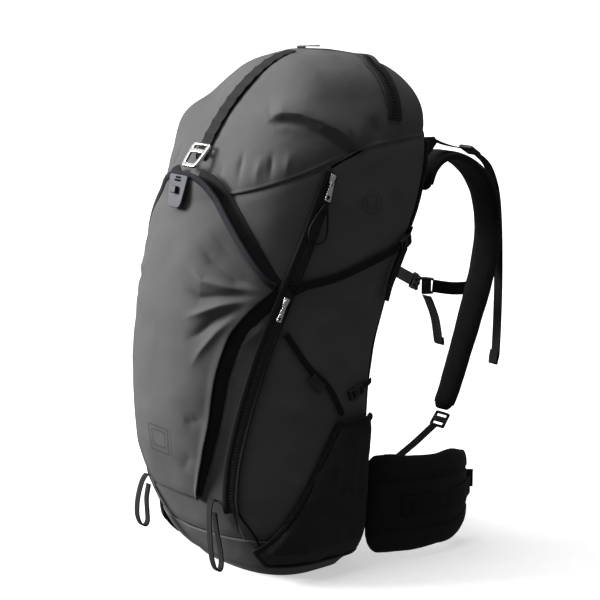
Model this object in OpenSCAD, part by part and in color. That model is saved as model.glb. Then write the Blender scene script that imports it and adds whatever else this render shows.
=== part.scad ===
/* [Bag] */
// Largest half width of the bag
half_w = 141; // [138:1:144]
// Thickness of the fabric walls with their padding
wall = 2.4; // [2:0.2:2.6]
// Rise of the lid seam for each millimetre towards the back, at its middle
seam_slope = 0.31; // [0.29:0.01:0.32]
// Height of the lid dome above its seam
lid_h = 108; // [104:1:110]

/* [Front pocket] */
// Distance that the pocket stands out from the bag
pocket_out = 21; // [18:1:22]
// Height of the pocket's bottom seam
pocket_z = 112; // [108:1:114]
// Thickness of the pocket panel
pocket_wall = 2.4; // [2:0.2:2.6]

/* [Webbing] */
// Width of the wide webbing
web_w = 20; // [19:1:21]
// Width of the narrow webbing
web_n = 11; // [10:1:12]
// Thickness of the webbing
web_t = 1.6; // [1.4:0.1:1.8]

/* [Harness] */
// Width of a shoulder strap
strap_w = 54; // [52:1:56]
// Thickness of a shoulder strap
strap_t = 12; // [10:1:13]
// Height of the hip belt wings
wing_h = 136; // [130:1:138]
// Thickness of the hip belt wings
wing_t = 14; // [12:1:15]

/* [Zips] */
// Width of a zip's tape
zip_w = 17; // [16:1:18]

/* [Hidden] */

// Bag outline: level, share of the half width, front and back of the section
OUTLINE = [
    [0, 0.64, -42, 66], [6, 0.76, -56, 76], [25, 0.88, -78, 82], [60, 0.94, -102, 84],
    [114, 0.97, -126, 84], [170, 0.985, -133, 84], [240, 1, -133, 87], [300, 1, -130, 99],
    [370, 0.99, -124, 129], [410, 0.98, -118, 158], [450, 0.965, -111, 184],
    [490, 0.95, -104, 200], [529, 0.94, -96, 204]];
seam_lv = 529;
seam_curve = 0.001;
base_lv = 60;
mid_y = 20;
back_power = 7;
slope_start = 300;
gap = 0.5;

black = [0.06, 0.06, 0.065];
charcoal = [0.2, 0.2, 0.2];
slate = [0.19, 0.21, 0.26];
steel = [0.8, 0.8, 0.8];

function unit(v) = v / norm(v);
function mix(a, b, f) = a + (b - a) * f;
function prof(col, lv) = lookup(lv, [for (r = OUTLINE) [r[0], r[col]]]);
// Height of the lid seam at depth y, above its height at the middle
function seam_rise(y) = seam_slope * y - seam_curve * y * y;
// Share of that rise that a section at level lv follows
function rise_share(lv) = pow(max(0, min(1, (lv - slope_start) / (seam_lv - slope_start))), 1.5);
function power_at(s, lv) = s > 0 ? back_power : lookup(lv, [[slope_start, 2.6], [seam_lv, 2.1]]);

// Point of the bag's section at angle t and level lv, d outside the fabric
function bag(t, lv, d = 0) = let (
    a = prof(1, lv) * half_w + d,
    yf = prof(2, lv) - d,
    yb = prof(3, lv) + d,
    c = cos(t),
    s = sin(t),
    e = 2 / power_at(s, lv),
    y = mid_y + (s > 0 ? yb - mid_y : mid_y - yf) * sign(s) * pow(abs(s), e))
    [sign(c) * a * pow(abs(c), e), y, lv + rise_share(lv) * seam_rise(y)];

// Section angle at which the right side has depth y
function angle_at(y, lv) = let (
    span = y > mid_y ? prof(3, lv) - mid_y : mid_y - prof(2, lv),
    f = min(1, abs(y - mid_y) / span),
    a = asin(pow(f, power_at(y - mid_y, lv) / 2)))
    y > mid_y ? a : -a;

function level_of(y, z, lv, n = 5) =
    n == 0 ? lv : level_of(y, z, z - rise_share(lv) * seam_rise(y), n - 1);
// Depth of the bag's front face at width x
function front_at(x, lv) = let (
    n = power_at(-1, lv),
    f = pow(max(0, 1 - pow(abs(x) / (prof(1, lv) * half_w), n)), 1 / n))
    mid_y - (mid_y - prof(2, lv)) * f;

// Point on the bag's side at depth y and height z
function side_at(y, z, d = 0, side = 1) = let (
    lv = level_of(y, z, z),
    p = bag(angle_at(y, lv), lv, d))
    [side * p.x, p.y, p.z];

function bag_normal(t, lv) =
    unit(cross(bag(t + 1, lv) - bag(t - 1, lv), bag(t, lv + 2) - bag(t, lv - 2)));
function side_normal(y, z, side = 1) = let (
    lv = level_of(y, z, z),
    n = bag_normal(angle_at(y, lv), lv))
    [side * n.x, n.y, n.z];

// Lid dome: angle t, share q of the way from its seam to its top, d outside
lid_gap = 2.8;
lid_mid = 36;
lid_shift = 22;
function lid_power(t) = 1.95 + 0.2 * cos(2 * t) + 0.25 * max(0, sin(t));
function lid_share(t, q) = pow(max(0, 1 - pow(q, lid_power(t))), 1 / lid_power(t));
function lid(t, q, d = 0) = let (
    rim = bag(t, seam_lv, -2),
    f = lid_share(t, q) * (1 + d / 150),
    y = lid_mid + lid_shift * q + (rim.y - lid_mid) * f)
    [rim.x * f, y, seam_lv + lid_gap + seam_rise(y) + q * (lid_h + d)];

// Front pocket: u from -1 to 1 across, v from 0 to 1 up
mouth_half = 126;
function mouth_z(x) = lookup(abs(x), [[0, 514], [20, 513], [40, 505], [60, 483], [80, 457],
    [100, 427], [120, 393], [mouth_half, 382]]);
function pocket_half(v) = lookup(v, [[0, 44], [0.2, 66], [0.4, 78], [0.6, 84], [0.8, 96],
    [0.9, 110], [1, mouth_half]]);
function pocket_bulge(u, v) = 3.5 + (pocket_out - 3.5) * pow(sin(min(90, v * 300)), 0.8)
    * (1 - 0.5 * pow(abs(u), 3)) * (1 - 0.42 * pow(v, 6));
function pocket(u, v, d = 0) = let (
    x = u * pocket_half(v),
    z = mix(pocket_z, mouth_z(u * mouth_half), v),
    lv = level_of(front_at(x, z), z, z))
    [x, front_at(x, min(lv, seam_lv)) - pocket_bulge(u, v) - d, z];

function tri_sum(p, f) = [for (t = f) for (k = [1:len(t) - 2])
    p[t[0]] * cross(p[t[k]], p[t[k + 1]])];
function total(v, i = 0, s = 0) = i == len(v) ? s : total(v, i + 1, s + v[i]);
function flip(f) = [for (t = f) [for (k = [len(t) - 1:-1:0]) t[k]]];

// A closed solid whose faces all point outwards
module solid(p, f) {
    polyhedron(p, total(tri_sum(p, f)) > 0 ? flip(f) : f, convexity = 8);
}

// A stack of closed rings with a cap at each end
module loft(rings) {
    n = len(rings[0]);
    m = len(rings);
    solid([for (r = rings) each r], concat(
        [[for (i = [0:n - 1]) i]],
        [[for (i = [n - 1:-1:0]) (m - 1) * n + i]],
        [for (j = [0:m - 2]) for (i = [0:n - 1]) let (k = (i + 1) % n)
            [j * n + i, (j + 1) * n + i, (j + 1) * n + k]],
        [for (j = [0:m - 2]) for (i = [0:n - 1]) let (k = (i + 1) % n)
            [j * n + i, (j + 1) * n + k, j * n + k]]));
}

// A curved sheet between an outer and an inner grid of points
module sheet(outer, inner) {
    rows = len(outer);
    cols = len(outer[0]);
    n = rows * cols;
    strip = function (a, b, c, d) [[a, b, c], [a, c, d]];
    solid(concat([for (r = outer) each r], [for (r = inner) each r]), concat(
        [for (j = [0:rows - 2]) for (i = [0:cols - 2]) let (a = j * cols + i)
            each strip(a, a + cols, a + cols + 1, a + 1)],
        [for (j = [0:rows - 2]) for (i = [0:cols - 2]) let (a = n + j * cols + i)
            each strip(a, a + 1, a + cols + 1, a + cols)],
        [for (i = [0:cols - 2]) each strip(i, i + 1, n + i + 1, n + i)],
        [for (i = [0:cols - 2]) let (a = (rows - 1) * cols + i)
            each strip(a, n + a, n + a + 1, a + 1)],
        [for (j = [0:rows - 2]) let (a = j * cols)
            each strip(a, n + a, n + a + cols, a + cols)],
        [for (j = [0:rows - 2]) let (a = j * cols + cols - 1)
            each strip(a, a + cols, n + a + cols, n + a)]));
}

// Smooth curve through hand-placed points
function spline_at(p, i, f) = let (
    a = p[max(i - 1, 0)], b = p[i], c = p[i + 1], d = p[min(i + 2, len(p) - 1)])
    0.5 * (2 * b + (c - a) * f + (2 * a - 5 * b + 4 * c - d) * f * f
        + (3 * b - a - 3 * c + d) * f * f * f);
function spline(p, n) = concat(
    [for (i = [0:len(p) - 2]) for (k = [0:n - 1]) spline_at(p, i, k / n)], [p[len(p) - 1]]);
function tangent(p, i) = unit(p[min(i + 1, len(p) - 1)] - p[max(i - 1, 0)]);

// Half outline of a band's section: flat webbing has 4 corners, a pad has 12
function section(w, t, soft) = soft
    ? [for (a = [0:30:330]) [sign(cos(a)) * pow(abs(cos(a)), 0.35) * w / 2,
                             sign(sin(a)) * pow(abs(sin(a)), 0.7) * t / 2]]
    : [[w / 2, t / 2], [-w / 2, t / 2], [-w / 2, -t / 2], [w / 2, -t / 2]];

// A band along path p, lying flat against the normals nrm
module band(p, nrm, w, t, soft = false) {
    loft([for (i = [0:len(p) - 1]) let (
        tan = tangent(p, i),
        s = unit(cross(tan, nrm[i])),
        n = cross(s, tan),
        width = is_list(w) ? w[i] : w)
        [for (q = section(width, t, soft)) p[i] + s * q.x + n * q.y]]);
}

module band_x(p, x, w, t, soft = false) {
    // a band whose width runs along X; p holds [y, z] or [y, z, x shift]
    pts = [for (q = p) [x + (len(q) > 2 ? q[2] : 0), q[0], q[1]]];
    band(pts, [for (i = [0:len(pts) - 1]) cross([1, 0, 0], tangent(pts, i))], w, t, soft);
}

// A strap lying on the bag's side, through [y, z] points
function side_path(p, d, side) = [for (q = spline(p, 3)) side_at(q[0], q[1], d, side)];
function side_normals(p, side) = [for (q = spline(p, 3)) side_normal(q[0], q[1], side)];
module side_band(p, w, t, d, side) {
    band(side_path(p, d, side), side_normals(p, side), w, t);
}

// Places children on the bag's side: X out of the fabric, Z up along it
module on_side(y, z, d, side, lean = 0) {
    n = side_normal(y, z, side);
    up = unit([0, 0, 1] - n * n.z);
    v = cross(up, n);
    o = side_at(y, z, d, side);
    multmatrix([[n.x, v.x, up.x, o.x], [n.y, v.y, up.y, o.y], [n.z, v.z, up.z, o.z]])
        rotate([lean, 0, 0]) children();
}

// ---- bag shell ----
RING = [0:8:352];
module bottom_panel() {
    inner = [wall + 0.4, 8, 26, base_lv];
    outer = [base_lv, 25, 6, 0];
    color(charcoal) loft(concat(
        [for (lv = inner) [for (t = RING) bag(t, lv, -wall)]],
        [for (lv = outer) [for (t = RING) bag(t, lv, 0)]]));
}

wall_levels = [base_lv + gap, 90, 120, 170, 205, 240, 270, 300, 335, 370, 410, 450, 490, seam_lv];
function zip_angle(lv) = -56 + 57 * pow(max(0, (lv - 100) / (seam_lv - 100)), 1.4);
module bag_wall(from, to, n, side = 1) {
    grid = function (d) [for (lv = wall_levels) [for (i = [0:n]) let (
        p = bag(mix(from(lv), to(lv), i / n), lv, d))
        [side * p.x, p.y, p.z]]];
    sheet(grid(0), grid(-wall));
}
back_corner = 50;
module front_body_panel() {
    color(charcoal) bag_wall(function (lv) zip_angle(lv) - 0.3,
        function (lv) -180 - zip_angle(lv) + 0.3, 16);
}
module side_panel(side) {
    color(charcoal) bag_wall(function (lv) zip_angle(lv) + 0.3,
        function (lv) back_corner - 0.2, 12, side);
}
module side_panel_right() side_panel(1);
module side_panel_left() side_panel(-1);
module back_panel() {
    color(black) bag_wall(function (lv) back_corner + 0.2,
        function (lv) 180 - back_corner - 0.2, 12);
}

// ---- frame ----
frame_y = [[76, 34], [76, 110], [76, 200], [78, 240], [89, 300], [118, 370], [144, 410],
    [168, 450], [184, 490], [190, 520]];
module frame_sheet() {
    color(black) band_x(spline(frame_y, 2), 0, 190, 1.6);
}
module stay(side) {
    color(steel) band_x([for (q = spline(frame_y, 2)) [q[0] - 3.2, q[1]]], side * 60, 14, 3);
}
module frame_stay_right() stay(1);
module frame_stay_left() stay(-1);
function back_y(z) = let (lv = level_of(prof(3, z), z, z)) prof(3, level_of(prof(3, lv), z, lv));
module back_pad() {
    path = [for (z = [160:30:500]) [back_y(z) + 9.5, z]];
    color(black) band_x(path, 0, 150, 13, true);
}
module lumbar_pad() {
    color(black) band_x([for (z = [24:16:136]) [back_y(z) + 9.4, z]], 0, 140, 18, true);
}

// ---- front pocket ----
pocket_rows = [for (v = [0:0.1:1]) v];
gusset_w = 5;
module front_pocket_panel() {
    grid = function (d) [for (v = pocket_rows) [for (u = [-1:0.125:1]) pocket(u, v, d)]];
    color(charcoal) sheet(grid(0), grid(-pocket_wall));
}
module pocket_gusset(side) {
    // runs from the pocket's edge to the bag beside it
    rows = [for (v = [0.1:0.09:0.91]) v];
    grid = function (d) [for (v = rows) let (
        a = pocket(1, v, -pocket_wall - 0.6),
        lv = level_of(a.y, a.z, a.z),
        foot = front_at(a.x + gusset_w, lv) - 1.5)
        [for (i = [0:4]) let (x = a.x + i / 4 * gusset_w + d)
            [side * x, mix(a.y, foot, i / 4), a.z]]];
    color(charcoal) sheet(grid(0.5), grid(-0.5));
}
module pocket_gusset_right() pocket_gusset(1);
module pocket_gusset_left() pocket_gusset(-1);
module pocket_binding() {
    path = [for (u = [-1:0.0625:1]) pocket(u, 1, -pocket_wall / 2) + [0, 0, 2.6]];
    color(slate) band(path, [for (p = path) unit([p.x / 128, -1, 0])], 4, 5);
}
patch_at = pocket(0, 0.955, 0);
patch_lean = 14;
module on_patch(out) {
    translate(patch_at) rotate([-patch_lean, 0, 0]) translate([0, -out, 0]) rotate([90, 0, 0])
        children();
}
module hook_patch() {
    color(slate) on_patch(5) linear_extrude(2.6) difference() {
        polygon([[-19, 19], [19, 19], [14, -16], [9, -22], [-9, -22], [-14, -16]]);
        translate([-6, 11]) square([12, 1.6]);
        translate([-5, 14.5]) square([10, 1.4]);
    }
}
module catch_knob() {
    color(black) on_patch(7.7) linear_extrude(5) offset(1.5) square(6, center = true);
}

// ---- lid ----
lid_q = [0, 0.12, 0.25, 0.4, 0.54, 0.67, 0.78, 0.87, 0.94, 0.98, 0.996];
module lid_shell() {
    inner = [for (k = [len(lid_q) - 1:-1:0]) [for (t = RING) lid(t, lid_q[k], -wall)]];
    outer = [for (k = [0:len(lid_q) - 1]) [for (t = RING) lid(t, lid_q[k], 0)]];
    color(charcoal) loft(concat(inner, outer));
}
function lid_normal(t, q) = unit(cross(lid(t + 2, q) - lid(t - 2, q),
    lid(t, min(q + 0.02, 0.99)) - lid(t, q - 0.02)));
module lid_band(tq, w, d) {
    p = [for (a = spline(tq, 3)) lid(a[0], a[1], d)];
    color(black) band(p, [for (a = spline(tq, 3)) lid_normal(a[0], a[1])], w, web_t);
}
zip_route = [[7, 0.2], [9, 0.5], [13, 0.7], [21, 0.82], [45, 0.87], [90, 0.88], [135, 0.87],
    [159, 0.82], [167, 0.7], [171, 0.5], [173, 0.2]];
module lid_zip_tape() {
    lid_band(zip_route, zip_w, 2);
}
module zip_body(w, h, t) {
    linear_extrude(t) offset(1) polygon([[-w / 2 + 1, h / 2 - 1], [w / 2 - 1, h / 2 - 1],
        [w / 2 - 2, -h / 2 + 1], [-w / 2 + 2, -h / 2 + 1]]);
}
slider_t = 136;
slider_q = 0.87;
module lid_zip_slider() {
    color(steel) translate(lid(slider_t, slider_q, 6)) rotate([-22, 0, 0]) rotate([0, 0, 90])
        zip_body(8, 12, 3);
}
function lid_q_at(t, f) = pow(max(0, 1 - pow(f, lid_power(t))), 1 / lid_power(t));
function top_pt(s, d) = let (t = s > 0 ? 270 : 90) lid(t, lid_q_at(t, abs(s)), d);
strap_end = 0.885;
module top_strap() {
    s = [for (a = [-0.036:0.064:strap_end]) a];
    p = [for (a = s) top_pt(a, 5)];
    color(black) band_x([for (q = p) [q.y, q.z]], 0, web_w, web_t);
}
hook_y = top_pt(strap_end, 5).y;
hook_z = top_pt(strap_end, 5).z;
hook_lean = 42;
hook_out = 5;
module hook_buckle() {
    // frame that turns on the strap's end above, with a foot that catches the patch
    color(steel) translate([0, hook_y - hook_out, hook_z]) rotate([90 - hook_lean, 0, 0])
        linear_extrude(3.2, center = true) difference() {
            offset(3) polygon([[-14, -12], [-14, 2], [14, 2], [14, -12], [11, -28], [-11, -28]]);
            translate([-11, -4]) square([22, 6]);
            translate([-10, -25]) square([20, 15]);
        }
}

// ---- right side zip ----
function zip_z(lv) = zip_angle(lv);
zip_levels = [for (lv = [104:19:522]) lv];
function on_zip(lv, d) = bag(zip_z(lv), lv, d);
module side_zip_tape() {
    p = [for (lv = zip_levels) on_zip(lv, 1.5)];
    color(black) band(p, [for (lv = zip_levels) bag_normal(zip_z(lv), lv)], zip_w, 2.2);
}
module at_zip(lv, d) {
    n = bag_normal(zip_z(lv), lv);
    up = unit(on_zip(lv + 4, 0) - on_zip(lv - 4, 0));
    v = cross(up, n);
    o = on_zip(lv, d);
    multmatrix([[v.x, up.x, n.x, o.x], [v.y, up.y, n.y, o.y], [v.z, up.z, n.z, o.z]])
        children();
}
upper_lv = 510;
lower_lv = 372;
slider_lift = 4.6;
module upper_zip_slider() {
    color(steel) at_zip(upper_lv, slider_lift) zip_body(9, 13, 3.4);
}
module upper_zip_pull() {
    color(steel) at_zip(upper_lv, slider_lift + 3.8) translate([0, -17, 0]) linear_extrude(1.6) difference() {
        offset(1) polygon([[-1.5, 13], [1.5, 13], [4, -11], [-4, -11]]);
        translate([0, -6]) square([4, 7], center = true);
    }
}
cord_route = [[0, -27], [-5, -34], [-12, -52], [-14, -66], [-8, -74], [0, -76], [8, -74],
    [14, -66], [12, -52], [5, -34], [0, -29]];
module tube(p, r) {
    loft([for (i = [0:len(p) - 1]) let (
        tan = tangent(p, i),
        a = unit(cross(tan, abs(tan.z) > 0.9 ? [1, 0, 0] : [0, 0, 1])),
        b = cross(tan, a))
        [for (k = [0:45:315]) p[i] + r * (a * cos(k) + b * sin(k))]]);
}
module pull_cord() {
    color(black) at_zip(upper_lv, slider_lift + 4.6)
        tube([for (q = spline(cord_route, 3)) [q[0], q[1] - 4.6, 0]], 1.3);
}
module lower_zip_slider() {
    color(steel) at_zip(lower_lv, slider_lift) {
        zip_body(8, 12, 3.4);
        translate([0, -14, 3.41]) zip_body(6, 22, 1.6);
    }
}

// ---- side fittings ----
module mesh_pocket(side) {
    rows = [26, 44, 70, 110, 150, 185, 208];
    front = function (z) max(prof(2, z) + 22, -77 + 0.59 * (z - 39));
    stand = function (z) z < 30 ? 3 : 10;
    grid = function (d) [for (z = rows) [for (i = [0:8])
        side_at(mix(front(z), 74, i / 8), z, stand(z) + d, side)]];
    color(black) sheet(grid(1.2), grid(0));
}
module mesh_pocket_right() mesh_pocket(1);
module mesh_pocket_left() mesh_pocket(-1);

upper_route = [[-46, 386], [-20, 388], [26, 393], [84, 407], [118, 416]];
module upper_strap(side) {
    color(black) side_band(upper_route, web_n, web_t, 4.4, side);
    color(black) side_band([[145, 426], [152, 429], [158, 433]], web_n, web_t, 4.4, side);
    // the loose end that hangs from the buckle
    color(black) side_band([[124, 408], [112, 390], [100, 372], [92, 352]], web_n, web_t, 8.5, side);
}
module upper_strap_right() upper_strap(1);
module upper_strap_left() upper_strap(-1);
module buckle_block(l, w, t) {
    // long axis along Y
    rotate([0, 90, 0]) linear_extrude(t, center = true) offset(1.5)
        polygon([[-w / 2 + 1.5, -l / 2 + 1.5], [w / 2 - 1.5, -l / 2 + 1.5],
            [w / 2 - 1.5, l / 2 - 1.5], [-w / 2 + 1.5, l / 2 - 1.5]]);
}
module upper_buckle(side) {
    color(black) on_side(132, 421, 5.4, side, side * 20) buckle_block(24, 17, 5);
}
module upper_buckle_right() upper_buckle(1);
module upper_buckle_left() upper_buckle(-1);

lower_route = [[-54, 330], [-26, 286], [6, 253], [27, 216]];
module side_strap(side) {
    color(black) side_band(lower_route, 8, web_t, 4.4, side);
    color(black) side_band([[61, 248], [68, 250], [74, 252]], 8, web_t, 4.4, side);
}
module side_strap_right() side_strap(1);
module side_strap_left() side_strap(-1);
module side_buckle(side) {
    color(black) on_side(46, 242, 5.4, side, side * 20) buckle_block(24, 15, 5);
}
module side_buckle_right() side_buckle(1);
module side_buckle_left() side_buckle(-1);
module woven_tag() {
    color(black) side_band([[-22, 272], [-14, 262], [-6, 254]], 14, 0.8, 6.2, 1);
}

// ---- loops ----
loop_x = 70;
loop_top = 116;
module gear_loop(side, drop, out) {
    // drop stretches the loop downwards and out holds it away from the bag
    y0 = front_at(loop_x, 112) - 4.5;
    p = [[0.5, 0], [-4, 1], [-8 - out * 0.3, -8], [-9 - out * 0.8, -28], [-8 - out, -50],
        [-3 - out, -64], [4 - out, -68], [8 - out, -62], [7 - out, -48], [3 - out * 0.7, -30], [0, -12]];
    color(black) band_x([for (q = p) [y0 + q.x, loop_top + q.y * drop]], side * loop_x, 10, web_t);
}
module gear_loop_right() gear_loop(1, 1.35, 0);
module gear_loop_left() gear_loop(-1, 1, 9);
haul_z = 538;
haul_y = prof(3, seam_lv) + 3;
module haul_loop() {
    p = [for (a = [0:15:180]) [-32 * cos(a), haul_y + 9 * sin(a), haul_z - 32 * sin(a)]];
    color(black) band(p, [for (q = p) unit([0, 1, 0.2])], web_w * 0.6, 3);
}

// ---- harness ----
right_run = [[216, 474], [224, 498], [242, 512], [268, 515], [298, 504], [325, 482], [342, 450],
    [347, 408], [339, 366], [326, 328], [306, 280], [287, 236], [270, 198], [255, 172]];
left_run = [[216, 474], [222, 496], [236, 508], [252, 505], [266, 484], [274, 450], [275, 410],
    [268, 366], [258, 326], [246, 284], [234, 248], [220, 210], [200, 172]];
function strap_widths(n) = [for (i = [0:n]) mix(strap_w, strap_w * 0.62, pow(i / n, 1.4))];
module shoulder_strap_right() {
    p = [for (q = spline(right_run, 2)) [q[0], q[1], 14 * pow(max(0, (510 - q[1]) / 340), 1)]];
    color(black) band_x(p, 74, strap_widths(len(p) - 1), strap_t, true);
}
module shoulder_strap_left() {
    p = [for (q = spline(left_run, 2)) [q[0], q[1], -14 * pow(max(0, (510 - q[1]) / 340), 1)]];
    color(black) band_x(p, -74, strap_widths(len(p) - 1), strap_t, true);
}
// A lifter's padded wing is sewn to the back panel, and its webbing runs on to the strap
wing_pad = [[208.5, 509], [208.5, 545], [222, 544.5], [235, 543], [235, 534]];
module load_lifter(side, buckle) {
    translate([side * 88 - 2.5, 0, 0]) rotate([90, 0, 90]) linear_extrude(5) polygon(wing_pad);
    band_x([[232, 539], mix([232, 539], buckle, 0.5) - [0, 2], buckle], side * 86, web_w * 0.8,
        web_t);
}
right_lock = [300, 518];
left_lock = [254, 521];
module load_lifter_right() {
    color(black) load_lifter(1, right_lock - [10, -5]);
    // the loose end that hangs in front of the strap
    color(black) band_x([[313, 514], [337, 496], [353, 462], [360, 415], [363, 350], [363, 290],
        [361, 236], [358, 222]], 84, web_w * 0.8, web_t);
}
module load_lifter_left() {
    color(black) load_lifter(-1, left_lock - [10, -5]);
}
module lock_plate(w, h, t) {
    linear_extrude(t, center = true) difference() {
        offset(1.5) square([w - 3, h - 3], center = true);
        for (s = [-1, 1]) translate([0, s * h * 0.22]) square([w - 7, h * 0.17], center = true);
    }
}
module lifter_lock_right() {
    color(black) translate([85, right_lock[0] + 3, right_lock[1] + 1]) rotate([-32, 0, 0])
        lock_plate(25, 22, 4);
}
module lifter_lock_left() {
    color(black) translate([-85, left_lock[0] + 3, left_lock[1] + 1]) rotate([-28, 0, 0])
        lock_plate(25, 22, 4);
}
module lower_web(side, lock) {
    band_x([[lock[0] - 11, lock[1] - 11], [mix(92, lock[0], 0.68), 128], [mix(92, lock[0], 0.3), 103],
        [94, 92], [86, 86]], side * 84, web_w * 0.7, web_t);
}
right_end = [252, 158];
left_end = [190, 158];
module lower_web_right() {
    color(black) lower_web(1, right_end);
}
module lower_web_left() {
    color(black) lower_web(-1, left_end);
}
module lower_lock_right() {
    color(black) translate([88, right_end[0], right_end[1]]) rotate([52, 0, 0])
        lock_plate(26, 22, 4.5);
}
module lower_lock_left() {
    color(black) translate([-88, left_end[0], left_end[1]]) rotate([52, 0, 0])
        lock_plate(26, 22, 4.5);
}

// ---- sternum strap ----
stern_a = [64, 336.5, 325];
stern_mid = [8, 290, 325];
stern_b = [-64, 277, 356];
buckle_gap = 3.5;
buckle_half = 18;
module sternum_run(a, b, w, t) {
    band([a, mix(a, b, 0.5), b], [for (i = [0:2]) unit(cross(b - a, [0, 0, 1]))], w, t);
}
// Points along the strap at a distance from its middle, plus to the right
function stern_at(d) = stern_mid + abs(d) * unit(d > 0 ? stern_a - stern_mid : stern_b - stern_mid);
module sternum_web_right() {
    color(black) sternum_run(stern_a, stern_at(buckle_half + 0.3), web_w, web_t);
    // the loose end that hangs below the socket
    color(black) band_x(spline([[299, 309.5], [305, 299], [316, 274], [323, 240]], 2), 10, web_w * 0.9, web_t);
}
module sternum_web_left() {
    color(black) sternum_run(stern_at(-buckle_half - 0.3), stern_b, web_w, web_t);
}
module sternum_socket() {
    color(black) sternum_run(stern_at(buckle_gap), stern_at(buckle_half), 26, 8);
}
module sternum_plug() {
    color(black) sternum_run(stern_at(-buckle_gap), stern_at(-buckle_half), 25, 7);
}

// ---- hip belt ----
wing_plan = [[108, 98], [124, 120], [142, 152], [151, 190], [147, 228], [130, 258]];
module hip_wing(side) {
    plan = spline(wing_plan, 2);
    n = len(plan) - 1;
    rings = [for (i = [0:n]) let (
        q = plan[i],
        tan = unit(plan[min(i + 1, n)] - plan[max(i - 1, 0)]),
        nrm = [tan.y, -tan.x],
        h = wing_h * mix(1, 0.72, pow(i / n, 2)),
        zc = mix(74, 78, i / n))
        [for (s = section(h, wing_t, true))
            [side * (q.x + nrm.x * s.y), q.y + nrm.y * s.y, zc + s.x]]];
    color(black) loft(rings);
}
module hip_wing_right() hip_wing(1);
module hip_wing_left() hip_wing(-1);
module hip_half(side, l, t) {
    // short webbing turned inwards from the wing's tip, and its buckle half
    translate([side * 115, 273, 78]) rotate([0, 0, side * 48]) {
        translate([-side * 8, 0, 0]) cube([40, web_t, web_w], center = true);
        translate([-side * (28.2 + l / 2), 0, 0]) rotate([90, 0, 0]) linear_extrude(t, center = true)
            offset(2) square([l - 4, 30], center = true);
    }
}
module hip_socket() {
    color(black) hip_half(1, 34, 9);
}
module hip_plug() {
    color(black) hip_half(-1, 30, 8);
}

bottom_panel();
front_body_panel();
side_panel_right();
side_panel_left();
back_panel();
frame_sheet();
frame_stay_right();
frame_stay_left();
back_pad();
lumbar_pad();
pocket_gusset_right();
pocket_gusset_left();
front_pocket_panel();
pocket_binding();
hook_patch();
catch_knob();
lid_shell();
lid_zip_tape();
lid_zip_slider();
top_strap();
hook_buckle();
side_zip_tape();
upper_zip_slider();
upper_zip_pull();
pull_cord();
lower_zip_slider();
mesh_pocket_right();
mesh_pocket_left();
upper_strap_right();
upper_strap_left();
upper_buckle_right();
upper_buckle_left();
side_strap_right();
side_strap_left();
side_buckle_right();
side_buckle_left();
woven_tag();
gear_loop_right();
gear_loop_left();
haul_loop();
shoulder_strap_right();
shoulder_strap_left();
load_lifter_right();
load_lifter_left();
lifter_lock_right();
lifter_lock_left();
lower_web_right();
lower_web_left();
lower_lock_right();
lower_lock_left();
sternum_web_right();
sternum_web_left();
sternum_socket();
sternum_plug();
hip_wing_right();
hip_wing_left();
hip_socket();
hip_plug();
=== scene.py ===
import math

import bpy
import numpy as np
from mathutils import Matrix, Vector, noise


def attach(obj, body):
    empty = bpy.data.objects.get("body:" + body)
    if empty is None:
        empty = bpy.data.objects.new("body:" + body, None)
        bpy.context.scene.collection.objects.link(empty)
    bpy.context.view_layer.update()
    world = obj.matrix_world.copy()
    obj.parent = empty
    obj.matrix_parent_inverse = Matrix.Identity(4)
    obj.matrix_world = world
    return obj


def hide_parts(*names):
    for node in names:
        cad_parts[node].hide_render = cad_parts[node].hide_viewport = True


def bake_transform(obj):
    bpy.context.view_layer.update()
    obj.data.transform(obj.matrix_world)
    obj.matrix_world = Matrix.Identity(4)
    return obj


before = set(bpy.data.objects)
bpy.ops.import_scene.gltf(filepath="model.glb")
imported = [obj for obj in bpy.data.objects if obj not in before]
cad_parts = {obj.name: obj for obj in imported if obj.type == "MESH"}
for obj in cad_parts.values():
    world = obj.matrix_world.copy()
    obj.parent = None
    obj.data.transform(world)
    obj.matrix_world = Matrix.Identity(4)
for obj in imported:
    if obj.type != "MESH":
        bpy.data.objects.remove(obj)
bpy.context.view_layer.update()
scene = bpy.context.scene
MM = 0.001
SIDE_NAMES = {1: "right", -1: "left"}
STRAP_T = 1.6


# ---------------------------------------------------------------- camera, lights, floor
def add_camera():
    data = bpy.data.cameras.new("photo_view")
    data.lens = 115.9
    data.sensor_width = 36.0
    data.clip_end = 60.0
    camera = bpy.data.objects.new("photo_view", data)
    target = Vector((-0.0144, 0.0913, 0.3279))
    camera.location = Vector((1.8963, -1.5119, 0.8581))
    camera.rotation_mode = "QUATERNION"
    camera.rotation_quaternion = (target - camera.location).to_track_quat("-Z", "Y")
    scene.collection.objects.link(camera)
    scene.camera = camera


def add_sun(name, towards, strength, spread):
    data = bpy.data.lights.new(name, "SUN")
    data.energy = strength
    data.angle = math.radians(spread)
    lamp = bpy.data.objects.new(name, data)
    lamp.rotation_mode = "QUATERNION"
    lamp.rotation_quaternion = Vector(towards).to_track_quat("Z", "Y")
    scene.collection.objects.link(lamp)


def add_world(level):
    world = bpy.data.worlds.new("studio")
    world.use_nodes = True
    sky = world.node_tree.nodes["Background"]
    sky.inputs["Color"].default_value = (1.0, 1.0, 1.0, 1.0)
    sky.inputs["Strength"].default_value = level
    scene.world = world


add_camera()
add_sun("key_light", (-0.66, -0.74, 0.42), 5.55, 24)
add_sun("top_light", (-0.30, -0.25, 1.0), 2.4, 60)
add_world(0.135)
scene.view_settings.view_transform = "Standard"


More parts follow.
